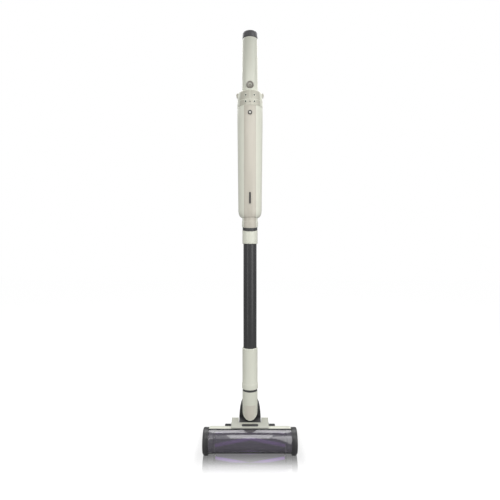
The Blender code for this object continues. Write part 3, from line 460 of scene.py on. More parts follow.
def finish_clear():
    """Clear polycarbonate with a faint violet tint and a few fine scuffs."""
    nodes = Nodes("clear_polycarbonate")
    nodes.set(base_color=(0.05, 0.035, 0.075), alpha=0.42, ior=1.7, specular_ior_level=1.0)
    nodes.set(coat_weight=1.0, coat_roughness=0.03, coat_ior=2.2)
    nodes.rough(nodes.spread(nodes.noise(90.0, 4.0, stretch=(0.3, 1.0, 1.0)), 0.04, 0.12))
    return nodes.material


def finish_lens():
    nodes = Nodes("lens")
    nodes.set(alpha=0.55, coat_weight=0.8, coat_roughness=0.03)
    nodes.colour(nodes.mix(nodes.noise(300.0, 1.0), (0.72, 0.71, 0.66), (0.82, 0.81, 0.76)))
    nodes.rough(nodes.spread(nodes.noise(80.0, 1.0), 0.06, 0.12))
    return nodes.material


def finish_steel():
    nodes = Nodes("turned_steel")
    nodes.set(metallic=1.0)
    rings = nodes.noise(900.0, 2.0, stretch=(0.05, 1.0, 1.0))
    nodes.colour(nodes.mix(rings, (0.42, 0.42, 0.43), (0.62, 0.62, 0.63)))
    nodes.rough(nodes.spread(rings, 0.2, 0.36))
    nodes.bump(rings, 0.000008)
    return nodes.material


def finish_board():
    nodes = Nodes("circuit_board")
    voronoi = nodes.add("ShaderNodeTexVoronoi", feature="DISTANCE_TO_EDGE")
    voronoi.inputs["Scale"].default_value = 260.0
    nodes.link(nodes.place(), voronoi.inputs["Vector"])
    tracks = nodes.math("LESS_THAN", voronoi.outputs["Distance"], 0.06)
    nodes.colour(nodes.mix(tracks, (0.012, 0.10, 0.035), (0.05, 0.24, 0.08)))
    nodes.rough(nodes.spread(tracks, 0.42, 0.25))
    nodes.bump(tracks, 0.00003)
    return nodes.material


def finish_foam():
    nodes = Nodes("filter_foam")
    voronoi = nodes.add("ShaderNodeTexVoronoi")
    voronoi.inputs["Scale"].default_value = 1300.0
    nodes.link(nodes.place(), voronoi.inputs["Vector"])
    nodes.colour(nodes.mix(voronoi.outputs["Distance"], (0.03, 0.03, 0.033), (0.16, 0.16, 0.17)))
    nodes.rough(nodes.spread(voronoi.outputs["Distance"], 0.85, 1.0))
    nodes.bump(voronoi.outputs["Distance"], 0.0004)
    return nodes.material


def finish_cell():
    nodes = Nodes("cell_wrap")
    nodes.set(coat_weight=0.4, coat_roughness=0.1)
    nodes.colour(nodes.mix(nodes.noise(60.0, 2.0), (0.05, 0.20, 0.46), (0.07, 0.26, 0.55)))
    nodes.rough(nodes.spread(nodes.noise(200.0, 2.0), 0.25, 0.4))
    nodes.bump(nodes.noise(700.0, 2.0, stretch=(1.0, 1.0, 0.1)), 0.00002)
    return nodes.material


def finish_weave():
    """Two-by-two twill under satin lacquer: tows run round and along the wand's own UV map."""
    nodes = Nodes("twill_weave")
    nodes.set(coat_weight=0.5, coat_roughness=0.16)
    uv = nodes.add("ShaderNodeUVMap", uv_map="UVMap")
    split = nodes.add("ShaderNodeSeparateXYZ")
    nodes.link(uv.outputs["UV"], split.inputs["Vector"])
    pitch = 1.0 / detail().weave
    across = nodes.math("MULTIPLY", split.outputs["X"], pitch)
    along = nodes.math("MULTIPLY", split.outputs["Y"], pitch)
    step = nodes.math("ADD", nodes.math("FLOOR", across), nodes.math("FLOOR", along))
    warp = nodes.math("LESS_THAN", nodes.math("FLOORED_MODULO", step, 4.0), 1.5)

    def crown(coordinate):
        """Rounded height across one tow."""
        return nodes.math("SINE", nodes.math("MULTIPLY", nodes.math("FRACT", coordinate), math.pi))

    height_mix = nodes.add("ShaderNodeMix", data_type="FLOAT")
    nodes.link(warp, height_mix.inputs["Factor"])
    nodes.link(crown(along), height_mix.inputs["A"])
    nodes.link(crown(across), height_mix.inputs["B"])
    height = height_mix.outputs["Result"]
    tone = nodes.mix(warp, (0.008, 0.008, 0.009), (0.044, 0.044, 0.046))
    nodes.colour(nodes.mix(nodes.noise(700.0, 2.0), (0.017, 0.017, 0.018), tone))
    nodes.rough(nodes.spread(warp, 0.30, 0.44))
    nodes.bump(height, 0.00010)
    return nodes.material


def finish_nap():
    """Dense soft nap: violet spiral rows read from the piece's own attribute, fibres from noise."""
    nodes = Nodes("roller_nap")
    nodes.set(sheen_weight=0.5, sheen_roughness=0.4)
    spiral = nodes.add("ShaderNodeAttribute", attribute_name="spiral")
    base = tuple(finishes().nap)
    fibre = nodes.noise(1500.0, 4.0, stretch=(0.35, 1.0, 1.0))
    ground = nodes.mix(fibre, scaled(base, 0.62), scaled(base, 1.35))
    nodes.colour(nodes.mix(spiral.outputs["Fac"], ground, tuple(finishes().nap_line)))
    nodes.rough(nodes.spread(fibre, 0.75, 0.95))
    nodes.bump(fibre, 0.0006)
    return nodes.material


# ---------------------------------------------------------------- modelling helpers
def clear_selection():
    if bpy.context.mode != "OBJECT":
        bpy.ops.object.mode_set(mode="OBJECT")
    bpy.ops.object.select_all(action="DESELECT")


def named(name):
    """Names the object that was just added and returns it."""
    obj = bpy.context.object
    obj.name = name
    obj.data.name = name
    return obj


def edit(obj):
    """Enters edit mode on one object with nothing of its mesh selected."""
    clear_selection()
    obj.select_set(True)
    bpy.context.view_layer.objects.active = obj
    bpy.ops.object.mode_set(mode="EDIT")
    bpy.ops.mesh.select_all(action="DESELECT")
    return bmesh.from_edit_mesh(obj.data)


def close_edit():
    """Merges doubles, points the faces outwards and leaves edit mode."""
    bpy.ops.mesh.select_all(action="SELECT")
    bpy.ops.mesh.remove_doubles(threshold=0.000002)
    bpy.ops.mesh.normals_make_consistent(inside=False)
    bpy.ops.object.mode_set(mode="OBJECT")


def settle(obj):
    """Puts an object's place, turn and size into its mesh."""
    clear_selection()
    obj.select_set(True)
    bpy.context.view_layer.objects.active = obj
    bpy.ops.object.transform_apply(location=True, rotation=True, scale=True)
    return obj


def apply_modifier(obj, kind, **values):
    """Adds one modifier, sets it and applies it."""
    clear_selection()
    obj.select_set(True)
    bpy.context.view_layer.objects.active = obj
    modifier = obj.modifiers.new(kind.lower(), kind)
    for key, value in values.items():
        setattr(modifier, key, value)
    bpy.ops.object.modifier_apply(modifier=modifier.name)
    return obj


def round_edges(obj, width, segments=3, angle=30.0):
    return apply_modifier(
        obj,
        "BEVEL",
        width=width,
        segments=segments,
        limit_method="ANGLE",
        angle_limit=math.radians(angle),
        harden_normals=False,
    )


def remove(*objs):
    for obj in objs:
        bpy.data.objects.remove(obj, do_unlink=True)


def carve(obj, *tools, operation="DIFFERENCE"):
    """Cuts, joins or intersects with tools, which are used up."""
    for tool in tools:
        apply_modifier(obj, "BOOLEAN", operation=operation, solver="EXACT", object=tool)
    remove(*tools)
    return obj


AXES = {"Z": (0.0, 0.0, 0.0), "X": (0.0, math.pi / 2, 0.0), "-X": (0.0, -math.pi / 2, 0.0)}
AXES["-Y"] = (math.pi / 2, 0.0, 0.0)
AXES["Y"] = (-math.pi / 2, 0.0, 0.0)


def turn(name, rings, at=(0.0, 0.0, 0.0), axis="Z", steps=None, hollow=False, back=None):
    """A turned piece: a circle extruded and resized ring by ring through (radius, height) pairs.

    A hollow piece closes on its first ring; a solid one is capped at both ends. The rule back(z)
    moves each ring that far towards +Y.
    """
    steps = steps or detail().facets
    clear_selection()
    radius, height = rings[0]
    bpy.ops.mesh.primitive_circle_add(
        vertices=steps, radius=radius, fill_type="NOTHING", location=(0.0, 0.0, height)
    )
    obj = settle(named(name))
    edit(obj)
    bpy.ops.mesh.select_all(action="SELECT")
    path = list(rings[1:]) + ([rings[0]] if hollow else [])
    shift = back(height) if back else 0.0
    if shift:
        bpy.ops.transform.translate(value=(0.0, shift, 0.0))
    for next_radius, next_height in path:
        next_shift = back(next_height) if back else 0.0
        bpy.ops.mesh.extrude_region_move(
            TRANSFORM_OT_translate={"value": (0.0, next_shift - shift, next_height - height)}
        )
        share = next_radius / radius
        bpy.ops.transform.resize(value=(share, share, 1.0), center_override=(0.0, next_shift, next_height))
        radius, height, shift = next_radius, next_height, next_shift
    if not hollow:
        bpy.ops.mesh.select_all(action="DESELECT")
        bpy.ops.mesh.select_non_manifold()
        bpy.ops.mesh.fill_holes(sides=0)
    close_edit()
    obj.rotation_euler = AXES[axis]
    obj.location = at
    return settle(obj)


def extruded(name, outline, low, high, axis="X"):
    """A flat outline given thickness: (y, z) points along X, (x, z) points along Y, (x, y) along Z."""
    clear_selection()
    bpy.ops.mesh.primitive_circle_add(vertices=len(outline), radius=1.0, fill_type="NGON")
    obj = named(name)
    lay = {
        "X": lambda a, b: (low, a, b),
        "Y": lambda a, b: (a, low, b),
        "Z": lambda a, b: (a, b, low),
    }[axis]
    reach = high - low
    step = {"X": (reach, 0, 0), "Y": (0, reach, 0), "Z": (0, 0, reach)}[axis]
    bm = edit(obj)
    bm.verts.ensure_lookup_table()
    for vert, (first, second) in zip(bm.verts, outline):
        vert.co = lay(first, second)
    bmesh.update_edit_mesh(obj.data)
    bpy.ops.mesh.select_all(action="SELECT")
    bpy.ops.mesh.extrude_region_move(TRANSFORM_OT_translate={"value": step})
    close_edit()
    return settle(obj)


def block(name, low, high):
    """A box between two corners, to be rounded or used to cut."""
    size = [b - a for a, b in zip(low, high)]
    centre = [(a + b) / 2 for a, b in zip(low, high)]
    clear_selection()
    bpy.ops.mesh.primitive_cube_add(size=1.0, location=centre)
    obj = named(name)
    obj.scale = size
    return settle(obj)


def rod(name, radius, low, high, axis="Z", at=(0.0, 0.0, 0.0), steps=32):
    return turn(name, [(radius, high), (radius, low)], at=at, axis=axis, steps=steps)


def skin(name, levels, half, surface, thick, columns=28, crown=0.0):
    """A curved plate that lies on a surface: a grid laid by surface(x, z, lift), then given thickness.

    Its rows run up the levels, each as wide as half(z). A crown lifts the middle above the edges.
    """
    rows = len(levels) - 1
    clear_selection()
    bpy.ops.mesh.primitive_grid_add(x_subdivisions=columns, y_subdivisions=rows, size=2.0)
    obj = named(name)
    bm = edit(obj)
    for vert in bm.verts:
        row = round((vert.co.y + 1) / 2 * rows)
        across = vert.co.x
        z = levels[row]
        vert.co = surface(across * half(z), z, crown * (1 - across * across))
    bmesh.update_edit_mesh(obj.data)
    close_edit()
    apply_modifier(obj, "SOLIDIFY", thickness=thick, offset=-1.0 if faces_front(obj) else 1.0)
    return settle(obj)


def faces_front(obj):
    """True where most of an open sheet's faces point towards -Y."""
    return sum(polygon.normal.y * polygon.area for polygon in obj.data.polygons) < 0


def finish(obj, body, slot, finish_name, *nodes, crease=CREASE):
    """Smooths a piece, gives it its finish and hands it to its body."""
    clear_selection()
    obj.select_set(True)
    bpy.context.view_layer.objects.active = obj
    bpy.ops.object.shade_smooth_by_angle(angle=crease)
    obj.data.materials.clear()
    obj.data.materials.append(material(finish_name))
    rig.ride(obj, body)
    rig.slot(obj, slot)
    if nodes:
        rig.replaces(obj, *nodes)
    return obj


def join_pieces(name, *objs):
    """Joins separate shells into one piece."""
    clear_selection()
    for obj in objs:
        obj.select_set(True)
    bpy.context.view_layer.objects.active = objs[0]
    bpy.ops.object.join()
    return named(name)


def copy_of(obj, name, matrix=None):
    twin = bpy.data.objects.new(name, obj.data.copy())
    bpy.context.scene.collection.objects.link(twin)
    if matrix is not None:
        twin.matrix_world = matrix
        settle(twin)
        if matrix.determinant() < 0:
            edit(twin)
            close_edit()
    return twin


def middle(node):
    low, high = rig.box(node)
    return (low + high) / 2


def pill(name, half_width, half_height, surface, thick, corner=6):
    """A small raised stadium-ended label that follows a surface(x, z, lift)."""
    turns = [math.pi * i / corner for i in range(corner + 1)]
    radius = min(half_width, half_height)
    if half_height > half_width:
        reach = half_height - radius
        outline = [(radius * math.cos(a), reach + radius * math.sin(a)) for a in turns]
        outline += [(-radius * math.cos(a), -reach - radius * math.sin(a)) for a in turns]
    else:
        reach = half_width - radius
        outline = [(reach + radius * math.sin(a), radius * math.cos(a)) for a in turns]
        outline += [(-reach - radius * math.sin(a), -radius * math.cos(a)) for a in turns]
    obj = extruded(name, outline, 0.0, thick, "Y")
    bm = edit(obj)
    for vert in bm.verts:
        lift = thick if vert.co.y < thick / 2 else 0.0
        vert.co = surface(vert.co.x, vert.co.z, lift)
    bmesh.update_edit_mesh(obj.data)
    close_edit()
    return obj


def softened(node, width, body, slot, finish_name, segments=2):
    """A copy of a CAD node with merged corners and rounded edges, which then stands for it."""
    obj = copy_of(frame["nodes"][node], node + "_soft")
    edit(obj)
    close_edit()
    edit(obj)
    bpy.ops.mesh.select_all(action="SELECT")
    bpy.ops.mesh.dissolve_limited(angle_limit=math.radians(0.4))
    bpy.ops.object.mode_set(mode="OBJECT")
    if width:
        round_edges(obj, width, segments, 35.0)
    return finish(obj, body, slot, finish_name, node)


# ---------------------------------------------------------------- sizes read from the frame
def half_width(node):
    low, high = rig.box(node)
    return (high.x - low.x) / 2


def level(node):
    """Lowest and highest height of a node."""
    low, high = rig.box(node)
    return low.z, high.z


HEAD_HALF = cad_high.x
CAP_R = (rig.box("end_cap_left")[1].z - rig.box("end_cap_left")[0].z) / 2
CAP_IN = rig.box("end_cap_right")[0].x
CAP_AXIS = (0.0, middle("end_cap_left").y, middle("end_cap_left").z)
CHAMBER_R = CAP_AXIS[1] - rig.box("roller_window")[0].y
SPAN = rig.box("roller_window")[1].x
ROLLER_AXIS = (0.0, middle("roller_brush").y, middle("roller_brush").z)
NAP_R = (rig.box("roller_brush")[1].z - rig.box("roller_brush")[0].z) / 2
NAP_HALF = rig.box("roller_brush")[1].x
ROLL_Z = middle("roll_sleeve").z
NECK_R = half_width("neck_shell")
NECK_TOP = level("neck_seal_ring")[0] - 0.0003
TUBE_R = half_width("wand_tube")
TUBE_TOP = level("upper_collar")[0]
BODY_LOW, BODY_TOP = level("body_shell_left")
BODY_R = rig.box("body_shell_right")[1].x
NOSE_R = 0.0188
SHOULDER = 0.019  # height of the rounding from the nose out to the body
SHOULDER_R = 0.0291  # body radius where that rounding ends
SET_BACK = 0.009  # how far back the body's centre lies behind the wand's
BODY_WALL = 0.0022
LEAN = math.radians(13.0)
LEAN_FRONT = 0.528  # height of the leaning joint at the front
STRIP_HALF = half_width("front_strip")
SKIRT_R = half_width("nose_duct")
SKIRT_TOP = 0.553
BAND_LOW, BAND_TOP = level("collar_frame")
BAND_SPLIT = 0.8490
BAND_DRAW = 0.0022
HANDLE_LOW = BAND_TOP + 0.0003
HANDLE_TOP = level("handle_shell")[1]
HANDLE_R = half_width("handle_shell")
BUTTON_AT = middle("power_button")
LENS_AT = middle("indicator_lens")


def body_radius(z):
    """Radius of the hand vacuum's body: a long taper, then a shoulder rounding in to the nose."""
    if z <= BODY_LOW:
        return NOSE_R
    if z < BODY_LOW + SHOULDER:
        return NOSE_R + (SHOULDER_R - NOSE_R) * math.sin(math.acos(1 - (z - BODY_LOW) / SHOULDER))
    share = min(1.0, (z - BODY_LOW - SHOULDER) / (BODY_TOP - BODY_LOW - SHOULDER))
    return SHOULDER_R + (BODY_R - SHOULDER_R) * share


def body_back(z):
    """How far the body's centre lies behind the wand's."""
    return SET_BACK * (body_radius(z) - NOSE_R) / (BODY_R - NOSE_R)


def band_radius(z):
    """Radius of the vent collar: upright below, drawn in towards its top."""
    share = max(0.0, (z - BAND_SPLIT) / (BAND_TOP - BAND_SPLIT))
    return BODY_R - BAND_DRAW * share * share


def body_surface(x, z, lift):
    """Point on the front of the body, or of the skirt under it, lifted off by some thickness."""
    radius = (SKIRT_R if z < SKIRT_TOP else body_radius(z)) + lift
    return Vector((x, body_back(z) - math.sqrt(radius * radius - x * x), z))


def band_surface(x, z, lift):
    radius = band_radius(z) + lift
    return Vector((x, SET_BACK - math.sqrt(radius * radius - x * x), z))


def neck_surface(x, z, lift):
    radius = NECK_R + lift
    return Vector((x, -math.sqrt(radius * radius - x * x), z))


def shoulder_levels(count=18):
    """Heights up the shoulder, evenly spaced round its curve."""
    return [BODY_LOW + SHOULDER * (1 - math.cos(math.pi / 2 * i / count)) for i in range(count + 1)]


def slope_tool(name, rise, above):
    """A block whose face is the leaning joint between wand and hand vacuum, raised by some height."""
    reach = 0.06
    obj = block(name, (-reach, -reach, 0.0 if above else -reach), (reach, reach, reach if above else 0.0))
    obj.rotation_euler = (LEAN, 0.0, 0.0)
    obj.location = (0.0, -NECK_R, LEAN_FRONT + rise)
    return settle(obj)


def button_hole(obj, node):
    """Cuts a round hole through a piece's rear wall for a release button."""
    low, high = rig.box(node)
    radius = (high.x - low.x) / 2 + 0.0003
    at = (0.0, 0.0, (low.z + high.z) / 2)
    carve(obj, rod("hole_tool", radius, 0.008, 0.03, "Y", at, 64))


def arc(radius, start, end, count=64):
    """(y, z) points round the chamber's axis: 0 degrees at the top, positive towards the front."""
    turns = [math.radians(start + (end - start) * i / count) for i in range(count + 1)]
    return [(CAP_AXIS[1] - radius * math.sin(a), CAP_AXIS[2] + radius * math.cos(a)) for a in turns]


def arc_band(name, outer, wall, start, end, count=64, half=None):
    """A curved wall of the roller's chamber, as long as the space between the end caps."""
    half = half or SPAN
    outline = arc(outer, start, end, count) + arc(outer - wall, end, start, count)
    return extruded(name, outline, -half, half)


# ---------------------------------------------------------------- floor head
class VACUUM_OT_end_caps(bpy.types.Operator):
    """Model the round end caps, with a dished face, a turn-lock hub and a flat foot"""

    bl_idname = "vacuum.end_caps"
    bl_label = "End caps"

    def execute(self, context):
        rim = CAP_R
        rings = [
            (0.0030, HEAD_HALF - 0.0014),
            (0.0062, HEAD_HALF - 0.0010),
            (0.0082, HEAD_HALF - 0.0010),
            (0.0088, HEAD_HALF - 0.0028),
            (0.0104, HEAD_HALF - 0.0028),
            (0.0110, HEAD_HALF - 0.0016),
            (rim - 0.0090, HEAD_HALF - 0.0022),
            (rim - 0.0076, HEAD_HALF - 0.0022),
            (rim - 0.0058, HEAD_HALF - 0.0002),
            (rim - 0.0050, HEAD_HALF),
            (rim - 0.0024, HEAD_HALF),
            (rim - 0.0012, HEAD_HALF - 0.0004),
            (rim - 0.0004, HEAD_HALF - 0.0012),
            (rim, HEAD_HALF - 0.0026),
            (rim, CAP_IN + 0.0042),
            (rim - 0.0006, CAP_IN + 0.0038),
            (rim - 0.0006, CAP_IN + 0.0030),
            (rim, CAP_IN + 0.0026),
            (rim, CAP_IN + 0.0004),
            (rim - 0.0004, CAP_IN),
        ]
        for side, axis, sign in (("left", "-X", -1), ("right", "X", 1)):
            cap = turn("end_cap_shell_" + side, rings, CAP_AXIS, axis)
            ends = sorted((sign * (CAP_IN + 0.0012), sign * (HEAD_HALF - 0.0032)))
            y = CAP_AXIS[1]
            foot = block("foot_tool", (ends[0], y - 0.0118, 0.0), (ends[1], y + 0.0118, 0.0034))
            round_edges(foot, 0.0006)
            carve(cap, foot, operation="UNION")
            ends = sorted((sign * (HEAD_HALF - 0.0022), sign * (HEAD_HALF + 0.001)))
            z = CAP_AXIS[2]
            carve(
                cap,
                block("slot_tool", (ends[0], y - 0.0052, z - 0.0007), (ends[1], y + 0.0052, z + 0.0007)),
            )
            grips = []
            for i in range(20):
                angle = math.radians(18 * i)
                radius = 0.0160
                grip = block("grip_tool", (ends[0], -0.0004, -0.0030), (ends[1], 0.0004, 0.0030))
                grip.rotation_euler = (angle, 0.0, 0.0)
                grip.location = (0.0, y - radius * math.sin(angle), z + radius * math.cos(angle))
                grips.append(settle(grip))
            carve(cap, join_pieces("grips_tool", *grips))
            finish(cap, "nozzle", "grey_plastic", "slate", "end_cap_" + side)
        return {"FINISHED"}


class VACUUM_OT_roller(bpy.types.Operator):
    """Model the soft roller with its spiral rows of tufts and the discs that carry it"""

    bl_idname = "vacuum.roller"
    bl_label = "Roller"

    def execute(self, context):
        self.nap(context.scene.vacuum_detail)
        for side, axis, bore in (("left", "-X", 0.0096), ("right", "X", 0.0048)):
            low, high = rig.box("bearing_carrier_" + side)
            inner = min(abs(low.x), abs(high.x))
            outer = max(abs(low.x), abs(high.x))
            radius = (high.z - low.z) / 2
            rings = [
                (radius, outer),
                (radius, inner + 0.0008),
                (radius - 0.0008, inner),
                (radius - 0.0040, inner),
                (radius - 0.0048, inner + 0.0012),
                (0.0150, inner + 0.0012),
                (0.0142, inner),
                (bore, inner),
                (bore, outer),
            ]
            carrier = turn("carrier_disc_" + side, rings, ROLLER_AXIS, axis, hollow=True)
            finish(carrier, "nozzle", "grey_plastic", "grey", "bearing_carrier_" + side)
        return {"FINISHED"}

    def nap(self, sizes):
        """The nap: rings along the roller, lifted into spiral rows, with a soft rounded end."""
        columns = 180
        rows = 5
        start = math.radians(150.0)
        row_width = 0.34
        row_height = 0.0004
        fade = 0.004
        shaft = NAP_R - 0.0068
        bare = NAP_R - 0.0035
        end = 0.0022
        bend = math.pi / 12
        rings = [(shaft, NAP_HALF), (NAP_R - end, NAP_HALF)]
        rings += [
            (
                NAP_R - end + end * math.sin(bend * i),
                NAP_HALF - end + end * math.cos(bend * i),
            )
            for i in range(1, 6)
        ]
        reach = NAP_HALF - end
        rings += [(NAP_R, reach - 2 * reach * i / columns) for i in range(columns + 1)]
        rings += [
            (
                NAP_R - end + end * math.cos(bend * i),
                -NAP_HALF + end - end * math.sin(bend * i),
            )
            for i in range(1, 6)
        ]
        rings += [(NAP_R - end, -NAP_HALF), (shaft, -NAP_HALF)]
        obj = turn("roller_nap", rings, ROLLER_AXIS, "X", steps=144, hollow=True)
        spiral = obj.data.attributes.new("spiral", "FLOAT", "POINT")
        centre = Vector(ROLLER_AXIS)
        for vertex in obj.data.vertices:
            offset = vertex.co - centre
            radius = math.hypot(offset.y, offset.z)
            if radius < bare:
                continue
            angle = math.atan2(offset.z, offset.y)
            sweep = sizes.tuft_turns * abs(offset.x) / NAP_HALF
            phase = ((angle + start) / (2 * math.pi) - sweep) * rows
            near = abs(phase - round(phase)) * 2
            row = max(0.0, 1 - (near / row_width) ** 2)
            spiral.data[vertex.index].value = row
            drop = row_height * (1 - row) * min(1.0, (NAP_HALF - abs(offset.x)) / fade)
            share = (radius - drop) / radius
            vertex.co = centre + Vector((offset.x, offset.y * share, offset.z * share))
        finish(obj, "roller", "nap", "nap", "roller_brush", crease=math.radians(60))


class VACUUM_OT_chamber(bpy.types.Operator):
    """Model the clear window, the housing behind the roller, the seal between them and the bumper"""

    bl_idname = "vacuum.chamber"
    bl_label = "Roller chamber"

    def execute(self, context):
        window_start = 10.3
        window_end = 122.0
        window = arc_band("clear_window", CHAMBER_R, 0.0016, window_start, window_end, 96)
        round_edges(window, 0.0003, 2)
        finish(window, "nozzle", "clear_window", "clear", "roller_window")
        shell = arc_band("chamber_back", CHAMBER_R, 0.0022, -115.0, window_start - 6.6, 96)
        port = rod("port_tool", 0.0100, -0.020, -0.004, "Y", (0.0, 0.0, 0.032), 48)
        carve(shell, port)
        round_edges(shell, 0.0003, 2)
        # The shell behind the roller takes the cream made paler: painted light.
        finish(shell, "nozzle", "cream", "ivory", "chamber_shell")
        outer = arc(CHAMBER_R + 0.0004, window_start - 6.0, window_start + 2.6, 16)
        under = arc(CHAMBER_R + 0.00005, window_start + 2.6, window_start - 0.5, 6)
        inner = arc(CHAMBER_R - 0.0018, window_start - 0.5, window_start - 6.0, 12)
        seal = extruded("window_lip", outer + under + inner, -SPAN, SPAN)
        finish(seal, "nozzle", "rubber", "rubber", "window_seal")
        start = window_end + 0.7
        bumper = arc_band("bumper_lip", CHAMBER_R, 0.0022, start, start + 8.5, 16)
        notches = []
        count = 27
        for i in range(count):
            x = (i - (count - 1) / 2) * 2 * SPAN / count
            y = CAP_AXIS[1] - CHAMBER_R * math.sin(math.radians(start + 8.5))
            notches.append(block("notch_tool", (x - 0.0007, y - 0.004, 0.0), (x + 0.0007, y + 0.004, 0.0095)))
        carve(bumper, join_pieces("notches_tool", *notches))
        finish(bumper, "nozzle", "rubber", "rubber", "front_bumper")
        return {"FINISHED"}


class VACUUM_OT_head_base(bpy.types.Operator):
    """Round the edges of the chassis and its deck, and fit the suction duct and the fixings"""

    bl_idname = "vacuum.head_base"
    bl_label = "Head base"

    def execute(self, context):
        softened("base_chassis", 0.0008, "nozzle", "dark_plastic", "dark", 3)
        # The deck takes the cream made paler: painted light.
        softened("deck_cover", 0.0007, "nozzle", "cream", "ivory", 3)
        softened("suction_duct", 0.0004, "nozzle", "dark_plastic", "dark")
        screw_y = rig.box("deck_cover")[1].y - 0.0044
        screw_z = 0.0324
        lean = math.radians(43.0)
        for side, sign in (("left", -1), ("right", 1)):
            for index, x in enumerate((0.058, 0.088)):
                at = (sign * x, screw_y, screw_z)
                screw = turn(
                    "deck_screw_%s_%d" % (side, index),
                    [(0.0012, 0.0008), (0.0024, 0.0008), (0.0027, 0.0005), (0.0027, -0.0022)],
                    steps=32,
                )
                cross = [
                    block("cross_a", (-0.0014, -0.0003, 0.0), (0.0014, 0.0003, 0.002)),
                    block("cross_b", (-0.0003, -0.0014, 0.0), (0.0003, 0.0014, 0.002)),
                ]
                carve(screw, *cross)
                screw.rotation_euler = (-lean, 0.0, 0.0)
                screw.location = at
                finish(settle(screw), "nozzle", "steel", "steel")
        return {"FINISHED"}


class VACUUM_OT_top_cover(bpy.types.Operator):
    """Model the sloping cover in front of the neck, with its plain badge"""

    bl_idname = "vacuum.top_cover"
    bl_label = "Top cover"

    def execute(self, context):
        # The top cover takes the cream made darker: painted shade.
        softened("top_cover", 0.0007, "nozzle", "cream", "lid", 3)
        low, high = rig.box("top_cover")
        front_y = low.y + 0.0015
        rise = (high.z - 0.062) / (high.y - 0.0015 - front_y)

        def lid(y):
            """Height of the cover's sloping top."""
            return 0.062 + (y - front_y) * rise

        reach, depth, y = 0.0160, 0.0040, low.y + 0.0085
        turns = [math.pi * i / 10 for i in range(11)]
        outline = [(reach + depth * math.sin(a), y + depth * math.cos(a)) for a in turns]
        outline += [(-reach - depth * math.sin(a), y - depth * math.cos(a)) for a in turns]
        badge = extruded("cover_badge", outline, 0.0, 0.001, "Z")
        bm = edit(badge)
        for vert in bm.verts:
            vert.co.z = lid(vert.co.y) + (0.00035 if vert.co.z > 0.0005 else -0.0004)
        bmesh.update_edit_mesh(badge.data)
        close_edit()
        round_edges(badge, 0.00015, 2)
        finish(badge, "nozzle", "dark_plastic", "dark")
        return {"FINISHED"}


class VACUUM_OT_wheels(bpy.types.Operator):
    """Model the grooved rear wheels and their axle heads"""

    bl_idname = "vacuum.wheels"
    bl_label = "Rear wheels"

    def execute(self, context):
        for side, axis in (("left", "-X"), ("right", "X")):
            low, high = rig.box("rear_wheel_" + side)
            radius = (high.z - low.z) / 2
            inner = min(abs(low.x), abs(high.x))
            outer = max(abs(low.x), abs(high.x))
            at = (0.0, (low.y + high.y) / 2, (low.z + high.z) / 2)
            rings = [(radius - 0.0035, outer), (radius - 0.0016, outer), (radius - 0.0006, outer - 0.0004)]
            rings.append((radius, outer - 0.0014))
            groove = 0.0008
            for i in range(4):
                x = outer - 0.0032 - 0.0026 * i
                rings += [(radius, x + groove / 2), (radius - 0.0007, x + groove / 4)]
                rings += [(radius - 0.0007, x - groove / 4), (radius, x - groove / 2)]
            rings += [(radius, inner + 0.0014), (radius - 0.0006, inner + 0.0004), (radius - 0.0016, inner)]
            rings += [(0.0027, inner), (0.0027, outer - 0.003), (radius - 0.0070, outer - 0.003)]
            rings += [(radius - 0.0064, outer - 0.0022), (radius - 0.0048, outer - 0.0022)]
            wheel = turn("wheel_tyre_" + side, rings, at, axis, hollow=True)
            finish(wheel, "wheel_" + side, "rubber", "rubber", "rear_wheel_" + side)
            low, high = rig.box("wheel_axle_" + side)
            tip = max(abs(low.x), abs(high.x))
            root = min(abs(low.x), abs(high.x))
            rings = [(0.0016, tip - 0.0004), (0.0022, tip), (0.0040, tip), (0.0050, tip - 0.0009)]
            rings += [(0.0050, tip - 0.0021), (0.0023, tip - 0.0021), (0.0023, root)]
            axle = turn("axle_stud_" + side, rings, at, axis, steps=48)
            finish(axle, "nozzle", "steel", "steel", "wheel_axle_" + side)
        return {"FINISHED"}


